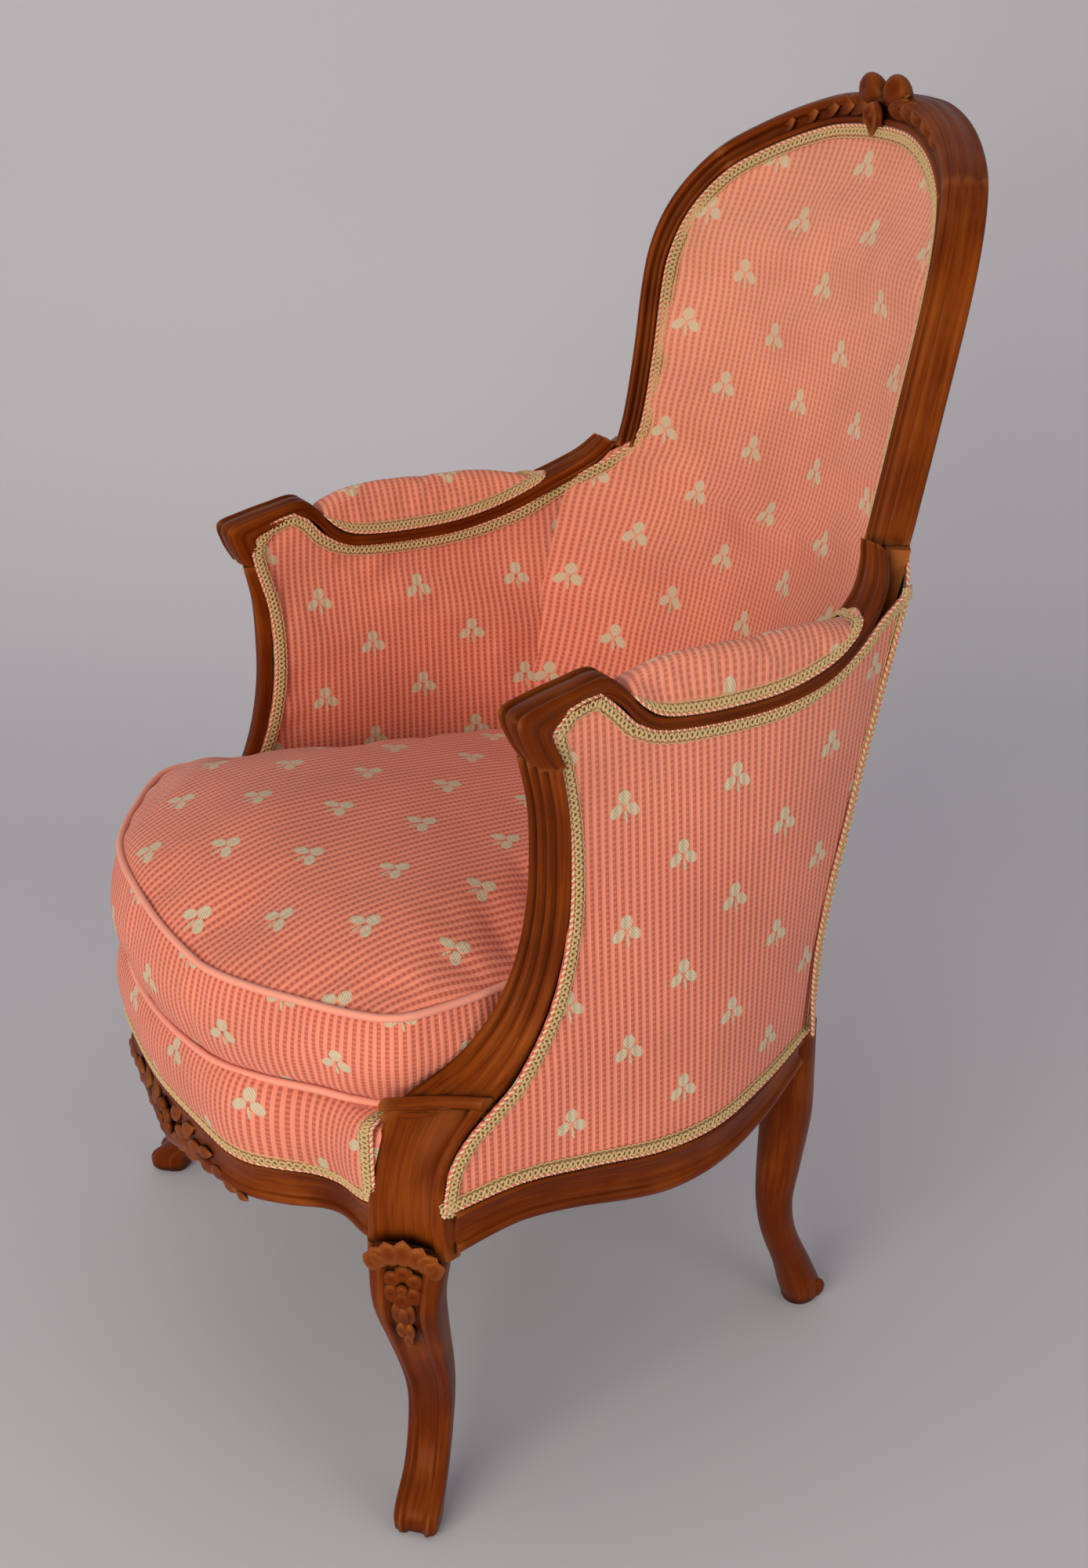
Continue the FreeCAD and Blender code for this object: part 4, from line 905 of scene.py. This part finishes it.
outside_sides = arm_sides(lambda z: value_at(outer_front, z), lambda z: value_at(outer_rear, z),
                          lambda y: value_at(under_band, y) + 2.5 - max(0, y - 150) * 0.28,
                          lambda y: value_at(side_top, y), 0.3)
inside_sides = arm_sides(lambda z: value_at(inner_front, z), inner_rear,
                         lambda y: value_at(under_band, y) + 2.5, lambda y: 330, 0.3)
for side, word in sides_of_chair:
    mesh = bmesh.new()
    panel(mesh, outside_sides,
          lambda a, b, share: outer_arm(a, b, 2.0 - 3.0 * (1 - share ** 3)), 40)
    finish_cloth(new_piece("outside_arm_" + word, mesh, figured_repp,
                           "outside_arm_cover_" + word, side=side))
    mesh = bmesh.new()
    panel(mesh, inside_sides, lambda a, b, share: inner_arm(a, b, 3.0 - arm_crown(a, b)), 40)
    seams = rim_of(mesh)
    inside = new_piece("inside_arm_" + word, mesh, figured_repp, "inside_arm_cover_" + word,
                       "arm_stuffing_" + word, side=side)
    stuff(inside, seams, 1.5, 0.01, 0.006)
    finish_cloth(inside)


# Arm pads.
# A half-round roll of stuffing in the dip of each arm, with the ribs of the cloth running
# over it from side to side.

pad_ends = (-90, 131)
pad_top = 675
pad_ring, ring_step = 20, 0.0045
pad_middle = [(-100, 260), (-40, 260), (0, 259.5), (40, 258), (75, 254.5), (100, 250),
              (124, 241), (140, 233)]
pad_seat = [(-100, 669), (-91, 660), (-84, 652.5), (-67, 641), (-40, 636), (0, 635), (40, 637),
            (75, 644), (100, 653), (124, 666), (140, 676)]
pad_swell = [(-93, 0.05), (-90, 0.4), (-84, 0.66), (-66, 0.92), (-30, 1), (20, 1), (70, 0.98),
             (105, 0.8), (124, 0.5), (131, 0.25), (135, 0.05)]
for side, word in sides_of_chair:
    mesh = bmesh.new()
    sections = []
    for i in range(49):
        y = pad_ends[0] - 3 + (pad_ends[1] - pad_ends[0] + 7) * i / 48
        grown = value_at(pad_swell, y)
        low = value_at(pad_seat, y) - 4
        high = low + max(3, (pad_top - low) * grown)
        half = 15.5 * (0.35 + 0.65 * min(1, grown * 1.6))
        turns = [math.pi * k / (pad_ring - 1) for k in range(pad_ring)]
        sections.append([spot(value_at(pad_middle, y) + half * math.cos(turn), y,
                              low + (high - low) * math.sin(turn) ** 0.75) for turn in turns])
    bar(mesh, sections, "Weave")
    layer = mesh.loops.layers.uv["Weave"]
    mesh.verts.index_update()
    for face in mesh.faces:
        for loop in face.loops:
            loop[layer].uv = loop.vert.co.y, (loop.vert.index % pad_ring) * ring_step
    seams = [v.index for v in mesh.verts if v.index % pad_ring in (0, 1, 18, 19)]
    pad = new_piece("arm_pad_" + word, mesh, figured_repp, "arm_pad_cover_" + word,
                    "arm_pad_stuffing_" + word, side=side, sharp=180)
    stuff(pad, seams, 1.5, 0.02, 0.004)
    finish_cloth(pad)


# Seat.
# Springy stuffing over webbing, covered with the same cloth down its front to the rail, and
# with plain cotton under the cushion.

def border_ends(x):
    """1 along most of the border, falling to 0 where its swell dies away at the blocks."""
    return 1 - abs(x / 255) ** 12


def behind_front(x, back, z):
    """A point square behind the seat's front line."""
    rear = -square_to(front_plan, x)
    return spot(x + rear.x * back, value_at(front_plan, x) + rear.y * back, z)


mesh = bmesh.new()
layer = mesh.loops.layers.uv.new("Weave")
border_foot = 276
# the border's section, as (towards the rear, up)
roll = through([(0.4, border_foot), (-2.5, 284), (-6, 298), (-8, 314), (-7, 330), (-2, 344),
                (7, 352), (20, 354.5), (38, 355), (60, 355)], 2)
rows = len(roll) - 1
bmesh.ops.create_grid(mesh, x_segments=96, y_segments=rows, size=1)
lengths = [0]
for a, b in zip(roll, roll[1:]):
    lengths.append(lengths[-1] + (b - a).length)
flats = {}
for v in mesh.verts:
    x = 252 * v.co.x
    row = round((v.co.y + 1) / 2 * rows)
    back, z = roll[row]
    back = back * border_ends(x) if back < 0 else back
    back += 14 * max(0.0, (abs(x) - 247) / 5) ** 2
    z += (value_at(front_top, abs(x)) - border_foot) * max(0.0, 1 - row / 6)
    flats[v] = Vector((x * 1.03, z if row < 6 else lengths[row] + border_foot))
    v.co = behind_front(x, back, z)
for face in mesh.faces:
    for loop in face.loops:
        loop[layer].uv = flats[loop.vert] / 1000
seat_front = new_piece("seat_front_border", mesh, figured_repp, "seat_cover", "seat_stuffing")
finish_cloth(seat_front)


def fine_weave(name, dark, light, threads, distance=0.0005, **inputs):
    """A plain cloth with a fine flat weave of so many threads a metre."""
    made, tree = material(name)
    weft = node(tree, "TexNoise", Vector=node(tree, "TexCoord").outputs["Object"],
                Scale=threads, Detail=2)
    bump = node(tree, "Bump", Height=weft, Strength=0.3, Distance=distance)
    surface(tree, Base_Color=mix(tree, weft, linear(dark), linear(light)), Normal=bump, **inputs)
    return made


# plain calico the colour of the ground
platform_cotton = fine_weave("Platform cotton", "#D98B77", "#D98B77", 900, Roughness=0.9)
mesh = bmesh.new()
deck_front = [Vector(p) for p in ((-222, -285), (-120, -310), (0, -318), (120, -310), (222, -285))]
deck_right = [Vector(p) for p in ((222, -285), (240, -200), (236, -60), (200, 84))]
deck_rear = [Vector(p) for p in ((200, 84), (150, 128), (80, 160), (0, 170))]
panel(mesh, [deck_front, deck_right, deck_rear + mirrored(deck_rear[:-1]), mirrored(deck_right)],
      lambda a, b, share: spot(a, b, 353.6), 12)
new_piece("seat_platform", mesh, platform_cotton)


# Loose cushion.
# A box cushion with a shaped front, filled with down: top and bottom panels, a boxing strip
# with a seam at each front corner, and self piping in both seams.

front_edge = [(0, -361), (50, -358), (100, -348), (140, -330), (175, -308), (206, -287),
              (226, -269)]
front_edge = mirrored(front_edge[1:]) + front_edge
right_edge = [(226, -269), (235, -252), (236, -228), (234, -195), (229, -160), (224, -110),
              (219, -50), (207, 20), (184, 72), (158, 100)]
rear_edge = [(158, 100), (120, 118), (70, 136), (0, 142)]
rear_edge += mirrored(rear_edge[:-1])
cushion_sides = [through(edge, 4)
                 for edge in (front_edge, right_edge, rear_edge, mirrored(right_edge))]
squares = 44
cushion_middle = Vector((0, -110))


def top_seam(x, y):
    """Height of the top seam: full along the front, sunk at the near side."""
    return 428 + 18 * max(0.0, min(1.0, (90 - x) / 120)) * max(0.0, min(1.0, -y / 250))


def bottom_seam(y):
    """Height of the bottom seam, which droops over the front of the seat."""
    return 356 - 8 * max(0.0, min(1.0, (-y - 300) / 50))


mesh = bmesh.new()
rim = []
for side in cushion_sides:
    rim += [along_side(side, i / squares) for i in range(squares)]
rings = []
# the boxing strip from its top to its foot, as (share of the height, swell)
for share, out in [(1, 0), (0.82, 3.5), (0.62, 6), (0.42, 6.5), (0.22, 4.5), (0, 0)]:
    ring = []
    for p in rim:
        away = p + (p - cushion_middle).normalized() * out
        high, low = top_seam(p.x, p.y), bottom_seam(p.y)
        ring.append(spot(away.x, away.y, low + (high - low) * share))
    rings.append(ring)
bar(mesh, rings, "Weave", False)
layer = mesh.loops.layers.uv["Weave"]
for face in mesh.faces:
    for loop in face.loops:
        loop[layer].uv.y *= -1
panel(mesh, cushion_sides, lambda x, y, share: spot(
    x, y, top_seam(x, y) + 30 * (1 - share ** 2.2) ** 0.8), squares)
panel(mesh, cushion_sides, lambda x, y, share: spot(x, y, bottom_seam(y)), squares)
bmesh.ops.remove_doubles(mesh, verts=mesh.verts, dist=0.0004)
mesh.verts.index_update()
seams = [[min(mesh.verts, key=lambda v: (v.co - p).length_squared).index for p in ring]
         for ring in (rings[0], rings[-1])]
# the seams and all of the underside, which lies on the seat, stay where they are
held = {v.index for v in mesh.verts if v.co.z < 0.358}.union(*seams)
cushion = new_piece("seat_cushion", mesh, figured_repp, "cushion_cover", "cushion_filling",
                    body="cushion", sharp=180)
stuff(cushion, sorted(held), 2.5, 0.035, 0.022, 24)
finish_cloth(cushion)

# the ground cloth cut on the cross, so its ribs run slantwise and barely show
self_piping = fine_weave("Self piping", "#EC9A84", "#EC9A84", 600, Roughness=0.8,
                         Sheen_Weight=0.15)


def strands(name, lines, finishes, body, node_name, closed=False):
    """Round threads along lines of points: each is (points, radius in mm, finish number)."""
    curve = bpy.data.curves.new(name, "CURVE")
    curve.dimensions = "3D"
    curve.bevel_resolution = 1
    curve.bevel_depth = 0.001
    curve.use_fill_caps = True
    for finish in finishes:
        curve.materials.append(finish)
    for points, radius, finish in lines:
        spline = curve.splines.new("POLY")
        spline.points.add(len(points) - 1)
        for target, p in zip(spline.points, points):
            target.co = (*p, 1)
            target.radius = radius
        spline.use_cyclic_u = closed
        spline.material_index = finish
        spline.use_smooth = True
    holder = show(name + "_line", curve)
    data = bpy.data.meshes.new_from_object(holder.evaluated_get(
        bpy.context.evaluated_depsgraph_get()))
    bpy.data.objects.remove(holder)
    placed(name, data, body, [node_name])


proud = 0.0006
for seam, word in zip(seams, ("top", "bottom")):
    places = [cushion.data.vertices[index].co for index in seam]
    middle = spot(*cushion_middle, 0)
    points = [p + Vector((p.x - middle.x, p.y - middle.y, 0)).normalized() * proud
              for p in places]
    strands("cushion_cord_" + word, [(points, 3.2, 0)], [self_piping], "cushion",
            "cushion_piping_" + word, True)


# Gimp.
# A woven braid glued over every tacked edge: a straw-coloured scroll on a flat ribbon, with
# a rose and cream twist on the side of the wood and small loops on the side of the cloth.

gimp_yarns = []
for name, colour in (("Straw gimp yarn", "#CDB07A"), ("Cream gimp yarn", "#E8CFA0"),
                     ("Rose gimp yarn", "#D9765F"), ("Olive gimp yarn", "#96794A")):
    yarn, tree = material(name)
    # Dull twisted yarn whose fibres break up the light.
    fibre = node(tree, "TexNoise", Vector=node(tree, "TexCoord").outputs["Object"], Scale=900,
                 Detail=2)
    tint = node(tree, "MapRange", Value=fibre, To_Min=0.7, To_Max=1.15)
    surface(tree, Base_Color=mix(tree, 1.0, linear(colour), tint, "MULTIPLY"), Roughness=0.8,
            Sheen_Weight=0.2)
    gimp_yarns.append(yarn)
straw, cream, rose, olive = range(4)


def walk(points, step):
    """Points at even steps along a line, each with the direction square to it on its left."""
    spots = []
    total = sum((b - a).length for a, b in zip(points, points[1:]))
    count = max(2, round(total / step))
    for i in range(count + 1):
        here = along_side(points, i / count)
        ahead = along_side(points, min(1, (i + 1.5) / count)) - along_side(
            points, max(0, (i - 1.5) / count))
        spots.append((here, Vector((-ahead.y, ahead.x)).normalized(), i * total / count))
    return spots


def gimp(name, line, lay, node_name, side=1):
    """Gimp along a flat line that keeps the cloth on its left; lay(a, b, height) places it."""
    spots = walk(line, 1.4)

    def thread(offset, height):
        """A yarn's points, from its distance to the line and its height at each run."""
        made = []
        for here, left, run in spots:
            p = here + left * offset(run)
            q = lay(p.x, p.y, height(run))
            made.append(Vector((side * q.x, q.y, q.z)))
        return made
    lines = []
    for phase, finish in ((0, cream), (math.pi, rose)):
        lines.append((thread(lambda s: 1.6 + 0.8 * math.cos(s * 1.25 + phase),
                             lambda s: 1.3 + 0.8 * math.sin(s * 1.25 + phase)), 0.95, finish))
    for phase in (0, math.pi):
        lines.append((thread(lambda s: 6.1 + 2.7 * math.sin(s * 0.72 + phase),
                             lambda s: 1.7 + 0.6 * math.cos(s * 1.44 + phase)), 1.05, straw))
    lines.append((thread(lambda s: 10.2 + 1.3 * abs(math.sin(s * 0.6)), lambda s: 0.8), 0.6,
                  straw))
    for offset in (3.4, 5.2, 7.0, 8.8):
        lines.append((thread(lambda s: offset, lambda s: 0.2), 0.95, olive))
    strands(name, lines, gimp_yarns, "frame", node_name)


def joined(sides):
    """The sides of a panel as one line."""
    line = []
    for side in sides:
        line += side if not line else side[1:]
    return line


def pad_width(y):
    """Half the width of the line that the gimp follows round an arm pad."""
    return 16.5 * (0.45 + 0.55 * min(1, value_at(pad_swell, y) * 1.6))


def on_pad(x, y, h):
    """A place on the pad's foot: a step inwards in plan climbs its side or its end."""
    middle = value_at(pad_middle, y)
    width = pad_width(y)
    side_in = max(0.0, width - abs(x - middle))
    end_in = max(0.0, min(y - pad_ends[0], pad_ends[1] - y))
    share = (end_in + 0.1) ** 2 / ((side_in + 0.1) ** 2 + (end_in + 0.1) ** 2)
    way = 1 if x > middle else -1
    out = width - side_in * (1 - 0.86 * share) + 0.7 * h * share
    return spot(middle + way * out, y, value_at(pad_seat, y) - 3.6 + h * (1 - 0.7 * share)
                + min(side_in, end_in) * (0.3 + 0.65 * share))


def on_border(x, z, h):
    """A place on the front border of the seat; its ends turn back over the top."""
    swell = min(1.0, max(0.0, (z - value_at(front_top, abs(x))) / 26))
    over = max(0.0, z - 348)
    return behind_front(x, over * over / 30 - 0.4 - h - 5 * border_ends(x) * swell,
                        z + 8 * (1 - math.exp(-over / 8)) - over)


over = inside_back_sides[2]
flare = [Vector(p) for p in ((224, 659), (206, 674), (190, 688), (178, 699))]
flare += inside_back_sides[1][8:]
gimp("inside_back_gimp", joined([flare, over, mirrored(flare)]),
     lambda a, b, h: on_back(a, b, 3.2 - back_crown(a, b) - h), "gimp_inside_back")
gimp("outside_back_gimp", joined(rear_sides),
     lambda a, b, h: on_back(a, b, behind(b) + 0.6 + h), "gimp_outside_back")
pad_line = []
for turn in (-1, 1):
    for i in range(33):
        y = pad_ends[0] + (pad_ends[1] - pad_ends[0]) * (i if turn > 0 else 32 - i) / 32
        pad_line.append(Vector((value_at(pad_middle, y) + turn * pad_width(y), y)))
pad_line.append(pad_line[0])
for side, word in sides_of_chair:
    gimp("outside_arm_gimp_" + word, joined(outside_sides),
         lambda a, b, h: outer_arm(a, b, 1.4 - h), "gimp_outside_arm_" + word, side)
    gimp("inside_arm_gimp_" + word, joined([inside_sides[2], inside_sides[3][:-2]]),
         lambda a, b, h: inner_arm(a, b, 2.2 - arm_crown(a, b) - h),
         "gimp_inside_arm_" + word, side)
    gimp("arm_pad_gimp_" + word, pad_line, on_pad, "gimp_arm_pad_" + word, side)
end = 248.5
border_line = [Vector((-end, 372)), Vector((-end, 300))]
for i in range(61):
    x = -end + 2 * end * i / 60
    border_line.append(Vector((x, value_at(front_top, abs(x)) + 1)))
border_line += [Vector((end, 300)), Vector((end, 372))]
gimp("seat_front_gimp", border_line, on_border, "gimp_seat_front")


# Hidden layers.
# Jute webbing and hessian under the stuffing, a black bottom cloth tacked under the seat, raw
# beech for the rails and blocks that no one sees, and a stained rail between the rear legs.

jute, tree = material("Jute hessian")
# Open plain weave of coarse straw-coloured yarn.
place = node(tree, "TexCoord").outputs["Object"]
warp, weft = (node(tree, "TexWave", {"bands_direction": way}, Vector=place, Scale=160,
                   Distortion=1.0).outputs["Fac"] for way in "XY")
cross = node(tree, "Math", {"operation": "MAXIMUM"}, _0=warp, _1=weft)
bump = node(tree, "Bump", Height=cross, Strength=0.5, Distance=0.0008)
surface(tree, Base_Color=mix(tree, cross, linear("#6E5635"), linear("#B2935F")), Roughness=0.95,
        Normal=bump)

raw_beech, tree = material("Raw beech")
# Unfinished pale beech with short flecks, a little grey with age.
place = node(tree, "TexCoord").outputs["Object"]
long = node(tree, "Mapping", Vector=place, Scale=(8, 90, 90))
fleck = node(tree, "TexNoise", Vector=long, Scale=2.5, Detail=4)
surface(tree, Base_Color=mix(tree, fleck, linear("#8C6A46"), linear("#C49B6C")), Roughness=0.7)

# thin black cotton with a faint even weave
bottoming = fine_weave("Black bottoming cloth", "#17161A", "#2C2A2E", 700, 0.0004,
                       Roughness=0.92)

plain_stain, tree = material("Plain stained beech")
# The same stain on the plain rear rail, its grain running from side to side.
place = node(tree, "TexCoord").outputs["Object"]
long = node(tree, "Mapping", Vector=place, Scale=(14, 60, 240))
grain = node(tree, "TexNoise", Vector=long, Scale=1, Detail=5, Distortion=0.4)
bump = node(tree, "Bump", Height=grain, Strength=0.15, Distance=0.0006)
surface(tree, Base_Color=ramp(tree, grain, (0.25, "#381203"), (0.8, "#7C3A0E")),
        Roughness=0.42, Normal=bump, **varnish)

for finish, names in ((jute, ("seat_webbing", "seat_hessian", "back_webbing", "back_hessian",
                              "arm_hessian_right", "arm_hessian_left")),
                      (bottoming, ("dust_cover",)), (plain_stain, ("rear_rail",)),
                      (raw_beech, ("back_lower_rail", "corner_blocks"))):
    for name in names:
        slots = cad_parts[name].data.materials
        slots.clear()
        slots.append(finish)
